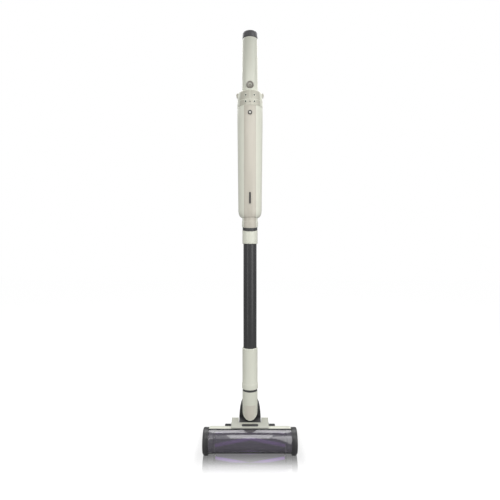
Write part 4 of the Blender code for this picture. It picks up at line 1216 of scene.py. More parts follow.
# ---------------------------------------------------------------- neck
class VACUUM_OT_neck(bpy.types.Operator):
    """Model the yoke, the round neck that rolls in front of it, its pivot cover and seal ring"""

    bl_idname = "vacuum.neck"
    bl_label = "Neck"

    def execute(self, context):
        softened("yoke_frame", 0.0008, "yoke", "dark_plastic", "slate", 3)
        softened("roll_sleeve", 0.0002, "yoke", "steel", "steel")
        for side in ("left", "right"):
            softened("pitch_pin_" + side, 0.0004, "nozzle", "steel", "steel")
        self.shell()
        self.cover()
        low, high = level("neck_seal_ring")
        radius = half_width("neck_seal_ring")
        rings = [(radius - 0.0003, high), (radius, high - 0.0004), (radius, high - 0.0019)]
        rings += [(radius - 0.0007, high - 0.0022), (radius - 0.0007, low + 0.0022), (radius, low + 0.0019)]
        rings += [(radius, low + 0.0004), (radius - 0.0003, low), (0.0162, low), (0.0162, high)]
        ring = turn("neck_ring", rings, hollow=True)
        finish(ring, "neck", "rubber", "gasket", "neck_seal_ring")
        return {"FINISHED"}

    def shell(self):
        """The neck's round knuckle: bowl-shaped below, flat behind, bored for air and the spigot."""
        low = level("neck_shell")[0]
        floor = level("neck_spigot")[0] - 0.0003
        socket = half_width("neck_spigot") + 0.0003
        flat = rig.box("roll_sleeve")[0].y + 0.0062
        air = 0.0105
        air_y = flat - 0.002 - air
        rings = [(NECK_R - 0.0005, NECK_TOP), (NECK_R, NECK_TOP - 0.0005), (NECK_R, low - 0.004)]
        shell = turn("neck_body", rings)
        turns = [math.pi * i / 48 for i in range(49)]
        wide = NECK_R + 0.006
        above = NECK_TOP + 0.01
        outline = [(-wide, above), (-wide, ROLL_Z)]
        outline += [(-NECK_R * math.cos(a), ROLL_Z - NECK_R * math.sin(a)) for a in turns]
        outline += [(wide, ROLL_Z), (wide, above)]
        carve(shell, extruded("bowl_tool", outline, -0.03, 0.03, "Y"), operation="INTERSECT")
        sleeve_r = half_width("roll_sleeve") + 0.0003
        sleeve_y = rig.box("roll_sleeve")[0].y - 0.0003
        carve(
            shell,
            rod("spigot_tool", socket, floor, above, steps=96),
            block("back_tool", (-0.04, flat, 0.04), (0.04, 0.06, 0.124)),
            rod("riser_tool", air, ROLL_Z, floor + 0.002, at=(0.0, air_y, 0.0), steps=64),
            rod("across_tool", air - 0.0002, air_y, 0.02, "Y", (0.0, 0.0, ROLL_Z), 64),
            rod("sleeve_tool", sleeve_r, sleeve_y, 0.02, "Y", (0.0, 0.0, ROLL_Z), 64),
        )
        round_edges(shell, 0.0004, 2, 40.0)
        finish(shell, "neck", "cream", "cream", "neck_shell")
        low, high = level("neck_spigot")
        radius = half_width("neck_spigot")
        bore = 0.01355
        rings = [
            (bore, high - 0.0008),
            (bore + 0.0008, high),
            (radius - 0.0012, high),
            (radius, high - 0.0012),
        ]
        for z in (high - 0.0060, high - 0.0120):
            rings += [
                (radius, z),
                (radius - 0.0008, z - 0.0003),
                (radius - 0.0008, z - 0.0017),
                (radius, z - 0.002),
            ]
        rings += [(radius, low + 0.0005), (radius - 0.0005, low), (bore, low)]
        spigot = turn("neck_pipe", rings, hollow=True)
        finish(spigot, "neck", "grey_plastic", "grey", "neck_spigot")

    def cover(self):
        """The raised cover on the neck's front, a curved plate with rounded edges."""
        low, high = level("neck_pivot_cover")
        centre = (low + high) / 2
        reach = (high - low) / 2
        half = half_width("neck_pivot_cover")
        count = 40
        levels = [centre - reach * math.cos(math.pi * i / count) for i in range(count + 1)]

        def width(z):
            """Drawn in to follow the knuckle below, rounded at the top."""
            below = max(0.0, ROLL_Z - z) / (ROLL_Z - low)
            above = max(0.0, z - ROLL_Z) / (high - ROLL_Z)
            return half * math.sqrt(1 - 0.82 * below**2) * (1 - 0.3 * above**8)

        cover = skin("neck_cover", levels, width, neck_surface, 0.0011, columns=36)
        round_edges(cover, 0.0004, 3, 40.0)
        finish(cover, "neck", "champagne", "panel", "neck_pivot_cover", crease=math.radians(25))


# ---------------------------------------------------------------- wand
class VACUUM_OT_wand(bpy.types.Operator):
    """Model the woven tube, its two sleeves, the leaning seal ring and the release buttons"""

    bl_idname = "vacuum.wand"
    bl_label = "Wand"

    def execute(self, context):
        self.tube()
        self.lower_sleeve()
        self.upper_collar()
        for body in ("wand_release", "nozzle_release"):
            node = body + "_button"
            low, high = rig.box(node)
            radius = (high.x - low.x) / 2
            at = (0.0, 0.0, (low.z + high.z) / 2)
            rings = [(0.0018, high.y - 0.0005), (0.0026, high.y - 0.0002), (radius - 0.0009, high.y)]
            rings += [(radius - 0.0002, high.y - 0.0004), (radius, high.y - 0.0010), (radius, low.y)]
            button = turn(node + "_cap", rings, at, "Y", steps=64)
            finish(button, body, "grey_plastic", "grey", node)
        return {"FINISHED"}

    def tube(self):
        low, high = level("wand_tube")
        bore = TUBE_R - 0.0013
        rows = 64
        rings = [(TUBE_R, high - (high - low) * i / rows) for i in range(rows + 1)]
        rings += [(bore, low), (bore, high)]
        obj = turn("woven_tube", rings, hollow=True)
        self.wrap(obj)
        finish(obj, "wand", "carbon", "weave", "wand_tube")

    def wrap(self, obj):
        """A UV map in metres, round the tube and along it, so that the weave keeps its size."""
        layer = obj.data.uv_layers.new(name="UVMap")
        turn_length = 2 * math.pi * TUBE_R
        for polygon in obj.data.polygons:
            centre_angle = math.atan2(polygon.center.y, polygon.center.x)
            for loop in polygon.loop_indices:
                place = obj.data.vertices[obj.data.loops[loop].vertex_index].co
                angle = math.atan2(place.y, place.x)
                while angle - centre_angle > math.pi:
                    angle -= 2 * math.pi
                while angle - centre_angle < -math.pi:
                    angle += 2 * math.pi
                layer.data[loop].uv = (angle / (2 * math.pi) * turn_length, place.z)

    def lower_sleeve(self):
        low, high = level("lower_sleeve")
        flare = half_width("lower_sleeve")
        radius = NECK_R + 0.0001
        neck_in = 0.0164
        hold = TUBE_R + 0.0003
        lip = low + 0.012
        rings = [
            (radius - 0.0010, high),
            (radius - 0.0003, high - 0.0004),
            (radius, high - 0.0012),
            (radius, high - 0.0046),
            (radius - 0.0004, high - 0.0049),
            (radius - 0.0004, high - 0.0055),
            (radius, high - 0.0058),
            (radius, lip + 0.0022),
            (radius + 0.0002, lip + 0.0014),
            (flare - 0.0002, lip + 0.0004),
            (flare, lip - 0.0004),
            (flare, low + 0.0005),
            (flare - 0.0004, low),
            (neck_in, low),
            (neck_in, level("neck_shell")[1] + 0.002),
            (hold, level("neck_shell")[1] + 0.004),
            (hold, high),
        ]
        sleeve = turn("neck_sleeve", rings, hollow=True)
        button_hole(sleeve, "nozzle_release_button")
        finish(sleeve, "wand", "cream", "cream", "lower_sleeve")

    def upper_collar(self):
        low = TUBE_TOP
        high = level("upper_collar")[1]
        radius = half_width("upper_collar")
        hold = TUBE_R + 0.0003
        spigot = 0.0159
        shoulder = LEAN_FRONT + 0.0125
        rings = [
            (spigot - 0.0010, high),
            (spigot - 0.0003, high - 0.0003),
            (spigot, high - 0.0010),
            (spigot, shoulder),
            (radius, shoulder),
            (radius, low + 0.0058),
            (radius - 0.0004, low + 0.0055),
            (radius - 0.0004, low + 0.0049),
            (radius, low + 0.0046),
            (radius, low + 0.0012),
            (radius - 0.0003, low + 0.0004),
            (radius - 0.0010, low),
            (hold, low),
            (hold, low + 0.012),
            (hold - 0.002, high),
        ]
        collar = turn("wand_collar", rings, hollow=True)
        slope = slope_tool("slope_tool", 0.0, above=True)
        carve(slope, rod("keep_tool", spigot + 0.0002, 0.4, 0.7, steps=96))
        carve(collar, slope)
        finish(collar, "wand", "cream", "cream", "upper_collar")
        ring_r = half_width("wand_seal_ring")
        rings = [(ring_r, LEAN_FRONT + 0.03), (ring_r, LEAN_FRONT - 0.006)]
        rings += [(spigot + 0.0004, LEAN_FRONT - 0.006), (spigot + 0.0004, LEAN_FRONT + 0.03)]
        ring = turn("leaning_ring", rings, hollow=True)
        carve(ring, slope_tool("low_tool", 0.0003, above=False), slope_tool("high_tool", 0.0082, above=True))
        round_edges(ring, 0.0005, 3, 40.0)
        groove = slope_tool("groove_tool", 0.0036, above=True)
        carve(groove, slope_tool("groove_top", 0.0046, above=True))
        carve(groove, rod("groove_keep", ring_r - 0.0005, 0.4, 0.7, steps=96))
        carve(ring, groove)
        finish(ring, "wand", "rubber", "gasket", "wand_seal_ring")


# ---------------------------------------------------------------- hand vacuum
def body_wall(name):
    """The body's whole wall, from its bored floor up to the collar, before it is divided."""
    low, high = BODY_LOW, BODY_TOP
    bore = 0.0167
    levels = shoulder_levels(24)
    outer = [(body_radius(z), z) for z in levels]
    outer += [(body_radius(z), z) for z in (0.62, 0.68, 0.74, 0.79, high - 0.0004)]
    outer += [(BODY_R - 0.0004, high)]
    inner = [(BODY_R - BODY_WALL, high)]
    for i in range(24, 4, -1):
        angle = math.pi / 2 * i / 24
        radius = NOSE_R + (SHOULDER_R - NOSE_R - BODY_WALL) * math.sin(angle)
        inner.append((radius, low + SHOULDER * (1 - math.cos(angle)) + BODY_WALL * math.cos(angle)))
    rings = [(bore, low)] + outer + inner + [(bore, low + BODY_WALL)]
    return turn(name, rings, steps=144, hollow=True, back=body_back)


class VACUUM_OT_body(bpy.types.Operator):
    """Model the two body shells, the dust door in their back and the hinge that it turns on"""

    bl_idname = "vacuum.body"
    bl_label = "Body shells"

    def execute(self, context):
        whole = body_wall("body_whole")
        door_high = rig.box("dust_door")[1]
        half = door_high.x
        panel_low = 0.594
        panel_high = door_high.z
        reach = 0.06
        opening_low = (-half - 0.0003, 0.018, panel_low - 0.0003)
        opening_high = (half + 0.0003, reach, panel_high + 0.0006)
        pin_low, pin_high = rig.box("door_hinge_pin")
        hinge = (0.0, (pin_low.y + pin_high.y) / 2, (pin_low.z + pin_high.z) / 2)
        for side, sign in (("left", -1), ("right", 1)):
            shell = copy_of(whole, "body_half_" + side)
            x = sorted((sign * SEAM / 2, -sign * reach))
            carve(
                shell,
                block("half_tool", (x[0], -reach, 0.5), (x[1], reach, 0.9)),
                block("opening_tool", opening_low, opening_high),
            )
            round_edges(shell, 0.00025, 2, 40.0)
            x = sorted((sign * 0.0083, sign * 0.0140))
            lug = rod("lug_tool", 0.0024, x[0], x[1], "X", hinge, 48)
            foot_low = (x[0], hinge[1] - 0.0075, panel_low - 0.010)
            foot = block("lug_foot_tool", foot_low, (x[1], hinge[1] + 0.0015, panel_low - 0.0003))
            carve(lug, foot, operation="UNION")
            round_edges(lug, 0.0004, 3, 40.0)
            carve(shell, lug, operation="UNION")
            carve(shell, rod("pin_tool", 0.0014, -0.0122, 0.0122, "X", hinge, 32))
            if side == "left":
                self.screw_wells(shell)
            finish(shell, "hand_vac", "cream", "cream", "body_shell_" + side)
        door = copy_of(whole, "door_panel")
        tool = block("panel_tool", (-half, 0.018, panel_low), (half, reach, panel_high))
        carve(door, tool, operation="INTERSECT")
        round_edges(door, 0.0003, 2, 40.0)
        knuckle = rod("knuckle_tool", 0.0024, -0.008, 0.008, "X", hinge, 48)
        tab_low = (-0.0079, hinge[1] - 0.0045, panel_low + 0.0002)
        tab = block("tab_tool", tab_low, (0.0079, hinge[1], hinge[2] + 0.0018))
        carve(knuckle, tab, operation="UNION")
        carve(door, knuckle, operation="UNION")
        carve(door, rod("pin_tool", 0.0014, -0.0122, 0.0122, "X", hinge, 32))
        self.finger_catch(door, panel_high)
        finish(door, "dust_door", "cream", "cream", "dust_door")
        softened("door_hinge_pin", 0.0002, "hand_vac", "steel", "steel")
        remove(whole)
        return {"FINISHED"}

    def finger_catch(self, door, top):
        """A shallow thumb scoop near the door's upper edge."""
        z = top - 0.0085
        y = body_back(z) + body_radius(z)
        clear_selection()
        bpy.ops.mesh.primitive_uv_sphere_add(
            segments=48,
            ring_count=24,
            radius=1.0,
            location=(0.0, y + 0.0022, z),
        )
        scoop = named("scoop_tool")
        scoop.scale = (0.0080, 0.0034, 0.0046)
        carve(door, settle(scoop))

    def screw_wells(self, shell):
        """Screw wells are kept to one shell, as the other is blind."""
        for z in (0.672, 0.742, 0.812):
            y = body_back(z) + body_radius(z)
            carve(shell, rod("well_tool", 0.0024, y - 0.0026, y + 0.01, "Y", (-0.0085, 0.0, z), 32))


class VACUUM_OT_nose(bpy.types.Operator):
    """Model the nose that the wand plugs into, the front strip, its lens and its plain badge"""

    bl_idname = "vacuum.nose"
    bl_label = "Nose and strip"

    def execute(self, context):
        top = BODY_LOW - 0.0003
        bore = 0.0164
        rings = [
            (NOSE_R, top),
            (NOSE_R, SKIRT_TOP + 0.0016),
            (NOSE_R + 0.0002, SKIRT_TOP + 0.0008),
            (SKIRT_R - 0.0003, SKIRT_TOP + 0.0001),
            (SKIRT_R, SKIRT_TOP - 0.0006),
            (SKIRT_R, LEAN_FRONT),
            (bore, LEAN_FRONT),
            (bore, top),
        ]
        nose = turn("nose_shell", rings, hollow=True)
        carve(nose, slope_tool("slope_tool", 0.0085, above=False))
        button_hole(nose, "wand_release_button")
        round_edges(nose, 0.0003, 2, 40.0)
        finish(nose, "hand_vac", "cream", "cream", "nose_duct")
        softened("inlet_tube", 0.0003, "hand_vac", "dark_plastic", "dark")
        self.strip()
        self.lens()
        badge = pill("strip_badge", 0.0019, 0.0140, self.badge_surface, 0.0004, corner=10)
        finish(badge, "hand_vac", "dark_plastic", "dark")
        return {"FINISHED"}

    def strip(self):
        low, high = level("front_strip")
        levels = [low, low + 0.004, SKIRT_TOP - 0.0005, SKIRT_TOP + 0.0012] + shoulder_levels(20)
        levels += [0.60, 0.65, 0.70, 0.75, 0.80, high]

        def seat(x, z, lift):
            return body_surface(x, z, lift + 0.0003)

        strip = skin("champagne_strip", levels, lambda z: STRIP_HALF, seat, 0.0012, columns=40)
        radius = half_width("indicator_lens") + 0.0014
        carve(strip, rod("lens_tool", radius, 0.0, 0.04, "-Y", (0.0, 0.0, LENS_AT.z), 64))
        round_edges(strip, 0.0004, 3, 40.0)
        finish(strip, "hand_vac", "champagne", "champagne", "front_strip", crease=math.radians(25))

    def lens(self):
        radius = half_width("indicator_lens")
        face = -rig.box("indicator_lens")[0].y
        at = (0.0, 0.0, LENS_AT.z)
        rings = [(0.0012, face), (radius - 0.0012, face - 0.0002), (radius - 0.0008, face - 0.0006)]
        rings += [(radius - 0.0008, face - 0.0014)]
        lens = turn("lens_dome", rings, at, "-Y", steps=64)
        finish(lens, "hand_vac", "clear_window", "lens", "indicator_lens")
        rings = [(radius - 0.0007, face - 0.0004), (radius - 0.0002, face), (radius + 0.0008, face)]
        rings += [
            (radius + 0.0012, face - 0.0005),
            (radius + 0.0012, face - 0.0016),
            (radius - 0.0007, face - 0.0016),
        ]
        ring = turn("lens_bezel", rings, at, "-Y", steps=64, hollow=True)
        finish(ring, "hand_vac", "dark_plastic", "dark")

    def badge_surface(self, x, z, lift):
        """The strip's face, round the badge's middle height."""
        badge_height = 0.6095
        strip_stand = 0.0003 + 0.0012
        return body_surface(x, z + badge_height, lift + strip_stand)


class VACUUM_OT_collar(bpy.types.Operator):
    """Model the vent collar, its two front plates, their studs and the battery latches"""

    bl_idname = "vacuum.collar"
    bl_label = "Vent collar"

    def execute(self, context):
        self.frame_ring()
        self.plates()
        for side in ("left", "right"):
            softened("battery_latch_" + side, 0.0007, "latch_" + side, "collar_band", "band", 3)
        return {"FINISHED"}

    def frame_ring(self):
        low = BAND_LOW
        inside = BODY_R - 0.0030
        rings = [(HANDLE_R - 0.0012, BAND_TOP), (band_radius(BAND_TOP) - 0.0010, BAND_TOP)]
        rings += [(band_radius(BAND_TOP) - 0.0003, BAND_TOP - 0.0003)]
        steps = 10
        rings += [
            (band_radius(z), z)
            for z in [
                BAND_TOP - 0.001 - (BAND_TOP - 0.001 - BAND_SPLIT) * i / steps
                for i in range(steps + 1)
            ]
        ]
        rings += [(BODY_R, low + 0.0004), (BODY_R - 0.0004, low), (inside, low), (inside, BAND_SPLIT)]
        rings += [(inside - 0.003, BAND_TOP - 0.004), (HANDLE_R + 0.0004, BAND_TOP - 0.004)]
        obj = turn("collar_ring", rings, (0.0, SET_BACK, 0.0), steps=144, hollow=True)
        carve(obj, rod("bore_tool", HANDLE_R - 0.0012, low - 0.01, BAND_TOP + 0.01, steps=96))
        slots = []
        for i in range(17):
            angle = math.radians(-64 + 8 * i)
            slot = block("slot_tool", (-0.0008, BODY_R - 0.0014, 0.8400), (0.0008, BODY_R + 0.004, 0.8460))
            round_edges(slot, 0.0006, 2)
            slot.rotation_euler = (0.0, 0.0, angle)
            slot.location = (0.0, SET_BACK, 0.0)
            slots.append(settle(slot))
            if abs(math.degrees(angle)) > 60:
                continue
            slot = block("slot_tool", (-0.0008, BODY_R - 0.0014, 0.8520), (0.0008, BODY_R + 0.004, 0.8580))
            round_edges(slot, 0.0006, 2)
            slot.rotation_euler = (0.0, 0.0, angle)
            slot.location = (0.0, SET_BACK, 0.0)
            slots.append(settle(slot))
        carve(obj, join_pieces("slots_tool", *slots))
        for side, sign in (("left", -1), ("right", 1)):
            low_corner, high_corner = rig.box("battery_latch_" + side)
            inner = min(abs(low_corner.x), abs(high_corner.x)) - 0.0023
            x = sorted((sign * inner, sign * 0.05))
            low_at = (x[0], low_corner.y - 0.0003, low_corner.z - 0.0003)
            carve(obj, block("pocket_tool", low_at, (x[1], high_corner.y + 0.0003, BAND_TOP + 0.01)))
        finish(obj, "hand_vac", "cream", "cream", "collar_frame")

    def plates(self):
        """The two front plates, a groove down the upper one and two studs on each side."""
        low_half = half_width("collar_plate_lower")
        slope = (half_width("collar_plate_upper") - low_half) / (BAND_SPLIT - BAND_LOW)

        def half(z):
            return low_half + slope * (z - BAND_LOW)

        def seat(x, z, lift):
            return band_surface(x, z, lift + 0.0003)

        for name in ("collar_plate_upper", "collar_plate_lower"):
            low, high = level(name)
            levels = [low + (high - low) * i / 12 for i in range(13)]
            plate = skin(name.replace("collar_plate", "vent_plate"), levels, half, seat, 0.0010, columns=56)
            if name.endswith("upper"):
                tool_low = (-0.0006, -0.05, low - 0.002)
                carve(plate, block("groove_tool", tool_low, (0.0006, 0.0, high + 0.002)))
            round_edges(plate, 0.0003, 2, 40.0)
            finish(plate, "hand_vac", "collar_band", "band", name, crease=math.radians(25))
        for row, (x, z) in enumerate(((0.0105, 0.859), (0.0108, 0.8435))):
            for side, sign in (("left", -1), ("right", 1)):
                centre = seat(sign * x, z, 0.0010)
                lean = math.asin(sign * x / (band_radius(z) + 0.0013))
                stud = self.stud("plate_stud_%s_%d" % (side, row), centre, lean)
                finish(stud, "hand_vac", "dark_plastic", "dark")
                halo = self.halo("stud_halo_%s_%d" % (side, row), centre, lean)
                finish(halo, "hand_vac", "cream", "cream")
        centre = seat(0.0, 0.8430, 0.0010)
        mark = extruded(
            "plate_mark",
            [(-0.0016, -0.0012), (0.0016, -0.0012), (0.0, 0.0016)],
            0.0,
            0.0006,
            "Y",
        )
        mark.location = (0.0, centre.y - 0.0002, centre.z)
        finish(settle(mark), "hand_vac", "dark_plastic", "dark")

    def stud(self, name, centre, lean):
        rings = [(0.0008, 0.0002), (0.0017, 0.0001), (0.0019, -0.0002), (0.0019, -0.0007)]
        obj = turn(name, rings, (0.0, 0.0, 0.0), "-Y", steps=32)
        obj.rotation_euler = (0.0, 0.0, lean)
        obj.location = centre
        return settle(obj)

    def halo(self, name, centre, lean):
        rings = [(0.0020, 0.00005), (0.0022, 0.0003), (0.0030, 0.0003), (0.0034, 0.0), (0.0034, -0.0006)]
        rings += [(0.0020, -0.0006)]
        obj = turn(name, rings, (0.0, 0.0, 0.0), "-Y", steps=40, hollow=True)
        obj.rotation_euler = (0.0, 0.0, lean)
        obj.location = centre
        return settle(obj)


class VACUUM_OT_handle(bpy.types.Operator):
    """Model the round handle and its power button with a plain power mark"""

    bl_idname = "vacuum.handle"
    bl_label = "Handle"

    def execute(self, context):
        low = BAND_TOP - 0.026
        top_r = half_width("battery_cap")
        plug = HANDLE_R - 0.0015
        bore = 0.0136
        rings = [
            (top_r - 0.0006, HANDLE_TOP),
            (top_r, HANDLE_TOP - 0.0006),
            (top_r + 0.0001, HANDLE_TOP - 0.004),
            (HANDLE_R, HANDLE_LOW + 0.0006),
            (HANDLE_R - 0.0006, HANDLE_LOW),
            (plug, HANDLE_LOW),
            (plug, low),
            (bore, low),
            (bore, HANDLE_TOP),
        ]
        handle = turn("handle_sleeve", rings, hollow=True)
        low_corner, high_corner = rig.box("power_button")
        radius = (high_corner.x - low_corner.x) / 2
        floor = 0.0156
        at = (0.0, 0.0, BUTTON_AT.z)
        carve(handle, rod("pocket_tool", radius + 0.0003, floor, 0.04, "-Y", at, 96))
        round_edges(handle, 0.0003, 2, 40.0)
        finish(handle, "hand_vac", "cream", "cream", "handle_shell")
        face = -low_corner.y
        back = -high_corner.y
        rings = [
            (0.0060, face - 0.0007),
            (0.0066, face - 0.0004),
            (0.0080, face),
            (radius - 0.0003, face - 0.0003),
        ]
        rings += [(radius, face - 0.0007), (radius, back)]
        button = turn("power_key", rings, at, "-Y", steps=96)
        finish(button, "power_button", "champagne", "taupe", "power_button")
        self.mark(face - 0.0007, at)
        return {"FINISHED"}

    def mark(self, face, at):
        """The broken ring and bar of a plain power mark, on the button's sunk face."""
        turns = [math.radians(-52 + 284 * i / 40) for i in range(41)]
        outer = [(0.0036 * math.cos(a), 0.0036 * math.sin(a)) for a in turns]
        inner = [(0.0028 * math.cos(a), 0.0028 * math.sin(a)) for a in reversed(turns)]
        ring = extruded("power_ring", outer + inner, -face - 0.0002, -face + 0.0004, "Y")
        bar = extruded(
            "power_bar",
            [(-0.0005, 0.0008), (0.0005, 0.0008), (0.0005, 0.0046), (-0.0005, 0.0046)],
            -face - 0.0002,
            -face + 0.0004,
            "Y",
        )
        mark = join_pieces("power_mark", ring, bar)
        mark.location = at
        finish(settle(mark), "power_button", "cream", "cream")


class VACUUM_OT_battery(bpy.types.Operator):
    """Model the stick battery: its dark cap, its case and the wrapped cells"""

    bl_idname = "vacuum.battery"
    bl_label = "Battery"

    def execute(self, context):
        low, high = level("battery_cap")
        radius = half_width("battery_cap")
        rings = [
            (0.0090, high - 0.0012),
            (0.0102, high - 0.0004),
            (0.0118, high),
            (radius - 0.0048, high),
            (radius - 0.0030, high - 0.0004),
            (radius - 0.0013, high - 0.0016),
            (radius - 0.0003, high - 0.0034),
            (radius, high - 0.0052),
            (radius, HANDLE_TOP + 0.0026),
            (radius - 0.0004, HANDLE_TOP + 0.0023),
            (radius - 0.0004, HANDLE_TOP + 0.0017),
            (radius, HANDLE_TOP + 0.0014),
            (radius, HANDLE_TOP + 0.0007),
            (radius - 0.0003, HANDLE_TOP + 0.0004),
            (0.0115, HANDLE_TOP + 0.0004),
            (0.0115, low),
        ]
        cap = turn("battery_top", rings)
        finish(cap, "battery", "grey_plastic", "grey", "battery_cap")
        softened("battery_case", 0.0004, "battery", "dark_plastic", "dark", 3)
        for index in (1, 2, 3):
            low_corner, high_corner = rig.box("battery_cell_%d" % index)
            r = (high_corner.x - low_corner.x) / 2
            rings = [
                (0.0030, high_corner.z),
                (0.0034, high_corner.z - 0.0010),
                (r - 0.0012, high_corner.z - 0.0012),
            ]
            rings += [(r, high_corner.z - 0.0020), (r, low_corner.z + 0.0008), (r - 0.0008, low_corner.z)]
            cell = turn("wrapped_cell_%d" % index, rings, steps=64)
            finish(cell, "battery", "cell", "cell", "battery_cell_%d" % index)
        return {"FINISHED"}


class VACUUM_OT_inside(bpy.types.Operator):
    """Finish what the body and the roller hold: filters, fan, motors and circuit board"""

    bl_idname = "vacuum.inside"
    bl_label = "Inside"

    def execute(self, context):
        softened("filter_cone", 0.0003, "hand_vac", "steel", "steel")
        softened("foam_filter", 0.0012, "hand_vac", "foam", "foam", 3)
        softened("motor_bracket", 0.0006, "hand_vac", "dark_plastic", "dark")
        softened("vac_motor", 0.0005, "hand_vac", "steel", "steel")
        softened("impeller", 0.0002, "impeller", "steel", "steel")
        softened("control_board", 0.0001, "hand_vac", "board", "board")
        softened("roller_core", 0.0003, "roller", "grey_plastic", "grey")
        softened("roller_motor", 0.0004, "nozzle", "steel", "steel")
        softened("motor_rotor", 0.0002, "rotor", "steel", "steel")
        return {"FINISHED"}


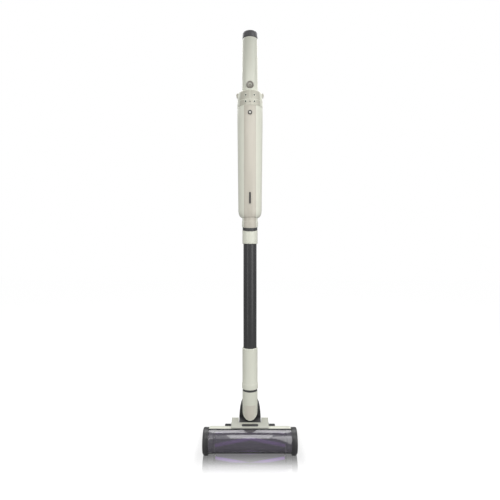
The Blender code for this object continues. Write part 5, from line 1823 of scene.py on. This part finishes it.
# ---------------------------------------------------------------- stage
class VACUUM_OT_stage(bpy.types.Operator):
    """Set the floor, the backdrop, the soft lights and the camera"""

    bl_idname = "vacuum.stage"
    bl_label = "Stage"

    def execute(self, context):
        sizes = context.scene.vacuum_stage
        context.scene.view_settings.view_transform = "Standard"
        self.floor(sizes)
        self.world(context.scene, sizes)
        self.softbox("key_light", (0.95, -1.05, 0.85), (0.9, 1.7), sizes.key, (0.0, 0.0, 0.45))
        self.softbox("strip_light", (0.0, -0.60, 0.90), (0.60, 0.62), sizes.strip, (0.0, -0.45, 0.0))
        self.softbox("fill_light", (-0.85, -0.95, 0.35), (0.35, 1.3), sizes.fill, (0.0, 0.0, 0.35))
        self.softbox("card_light", (0.0, 0.46, 1.35), (1.3, 0.9), sizes.card, (0.0, -0.06, 0.05))
        camera = bpy.data.cameras.new("camera")
        camera.lens = sizes.lens
        camera.sensor_width = 36.0
        camera.shift_y = -0.014
        camera.clip_start = 0.05
        holder = bpy.data.objects.new("camera", camera)
        context.scene.collection.objects.link(holder)
        holder.location = (0.0, -sizes.distance, sizes.height)
        holder.rotation_euler = (math.pi / 2, 0.0, 0.0)
        context.scene.camera = holder
        return {"FINISHED"}

    def floor(self, sizes):
        """A white floor whose gloss fades out a hand's width in front of the floor head."""
        clear_selection()
        bpy.ops.mesh.primitive_plane_add(size=1.0)
        obj = named("floor")
        obj.scale = (9.0, 9.0, 1.0)
        settle(obj)
        nodes = Nodes("studio_floor")
        nodes.set(base_color=(0.30, 0.30, 0.30), roughness=0.7, specular_ior_level=0.0)
        nodes.set(emission_color=(1.0, 1.0, 1.0))
        seen = nodes.add("ShaderNodeLightPath").outputs["Is Camera Ray"]
        nodes.link(nodes.spread(seen, 0.08, 0.86), nodes.shader.inputs["Emission Strength"])
        gloss = nodes.add("ShaderNodeBsdfGlossy")
        gloss.inputs["Color"].default_value = (1.03 / sizes.ambient,) * 3 + (1.0,)
        gloss.inputs["Roughness"].default_value = 0.08
        split = nodes.add("ShaderNodeSeparateXYZ")
        nodes.link(nodes.place(), split.inputs["Vector"])
        front = self.fade(nodes, split.outputs["Y"], -0.158, -0.045)
        back = self.fade(nodes, split.outputs["Y"], 0.160, 0.060)
        side = self.fade(nodes, nodes.math("ABSOLUTE", split.outputs["X"]), 0.150, 0.116)
        patch = nodes.math(
            "MULTIPLY",
            nodes.math("MULTIPLY", front, back),
            nodes.math("MULTIPLY", side, 0.82),
        )
        shine = nodes.math("MULTIPLY", patch, seen)
        mix = nodes.add("ShaderNodeMixShader")
        nodes.link(shine, mix.inputs["Fac"])
        nodes.link(nodes.shader.outputs["BSDF"], mix.inputs[1])
        nodes.link(gloss.outputs["BSDF"], mix.inputs[2])
        nodes.link(mix.outputs["Shader"], nodes.tree.nodes["Material Output"].inputs["Surface"])
        obj.data.materials.append(nodes.material)
        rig.stage(obj)

    def fade(self, nodes, source, nothing, full):
        """A smooth rise from 0 where the source is at its first value to 1 at its second."""
        node = nodes.add("ShaderNodeMapRange", interpolation_type="SMOOTHSTEP")
        node.inputs["From Min"].default_value = nothing
        node.inputs["From Max"].default_value = full
        nodes.link(source, node.inputs["Value"])
        return node.outputs["Result"]

    def world(self, scene, sizes):
        """A white backdrop that lights the vacuum less than it shows."""
        world = bpy.data.worlds.new("studio")
        world.use_nodes = True
        tree = world.node_tree
        shown = tree.nodes["Background"]
        shown.inputs["Color"].default_value = (1.0, 1.0, 1.0, 1.0)
        lit = tree.nodes.new("ShaderNodeBackground")
        lit.inputs["Strength"].default_value = sizes.ambient
        path = tree.nodes.new("ShaderNodeLightPath")
        mix = tree.nodes.new("ShaderNodeMixShader")
        tree.links.new(path.outputs["Is Camera Ray"], mix.inputs["Fac"])
        tree.links.new(lit.outputs["Background"], mix.inputs[1])
        tree.links.new(shown.outputs["Background"], mix.inputs[2])
        tree.links.new(mix.outputs["Shader"], tree.nodes["World Output"].inputs["Surface"])
        scene.world = world

    def softbox(self, name, place, size, power, aim):
        light = bpy.data.lights.new(name, "AREA")
        light.shape = "RECTANGLE"
        light.size, light.size_y = size
        light.energy = power
        obj = bpy.data.objects.new(name, light)
        bpy.context.scene.collection.objects.link(obj)
        obj.location = place
        obj.rotation_euler = (Vector(aim) - Vector(place)).to_track_quat("-Z", "Y").to_euler()
        obj.visible_camera = False


class VACUUM_PT_pieces(bpy.types.Panel):
    """Lists the vacuum's pieces and settings in the sidebar."""

    bl_idname = "VACUUM_PT_pieces"
    bl_label = "Stick vacuum"
    bl_space_type = "VIEW_3D"
    bl_region_type = "UI"
    bl_category = "Vacuum"

    def draw(self, context):
        for owner in (finishes(), detail(), context.scene.vacuum_stage):
            box = self.layout.box()
            for name in owner.bl_rna.properties.keys():
                if name not in ("rna_type", "name"):
                    box.prop(owner, name)
        for operator in OPERATORS:
            self.layout.operator(operator.bl_idname)


GROUPS = {"vacuum_finishes": VacuumFinishes, "vacuum_detail": VacuumDetail, "vacuum_stage": VacuumStage}
OPERATORS = (
    VACUUM_OT_stage,
    VACUUM_OT_end_caps,
    VACUUM_OT_roller,
    VACUUM_OT_chamber,
    VACUUM_OT_head_base,
    VACUUM_OT_top_cover,
    VACUUM_OT_wheels,
    VACUUM_OT_neck,
    VACUUM_OT_wand,
    VACUUM_OT_body,
    VACUUM_OT_nose,
    VACUUM_OT_collar,
    VACUUM_OT_handle,
    VACUUM_OT_battery,
    VACUUM_OT_inside,
)


def register():
    for name, group in GROUPS.items():
        bpy.utils.register_class(group)
        setattr(bpy.types.Scene, name, PointerProperty(type=group))
    for operator in OPERATORS:
        bpy.utils.register_class(operator)
    bpy.utils.register_class(VACUUM_PT_pieces)


def unregister():
    bpy.utils.unregister_class(VACUUM_PT_pieces)
    for operator in reversed(OPERATORS):
        bpy.utils.unregister_class(operator)
    for name, group in GROUPS.items():
        delattr(bpy.types.Scene, name)
        bpy.utils.unregister_class(group)


def main():
    register()
    for operator in OPERATORS:
        group, name = operator.bl_idname.split(".")
        getattr(getattr(bpy.ops, group), name)()
    low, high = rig.bounds()
    sizes = {"cad": [list(cad_low), list(cad_high)], "visual": [list(low), list(high)]}
    with open("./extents.json", "w") as file:
        json.dump(sizes, file)


if __name__ == "__main__":
    main()
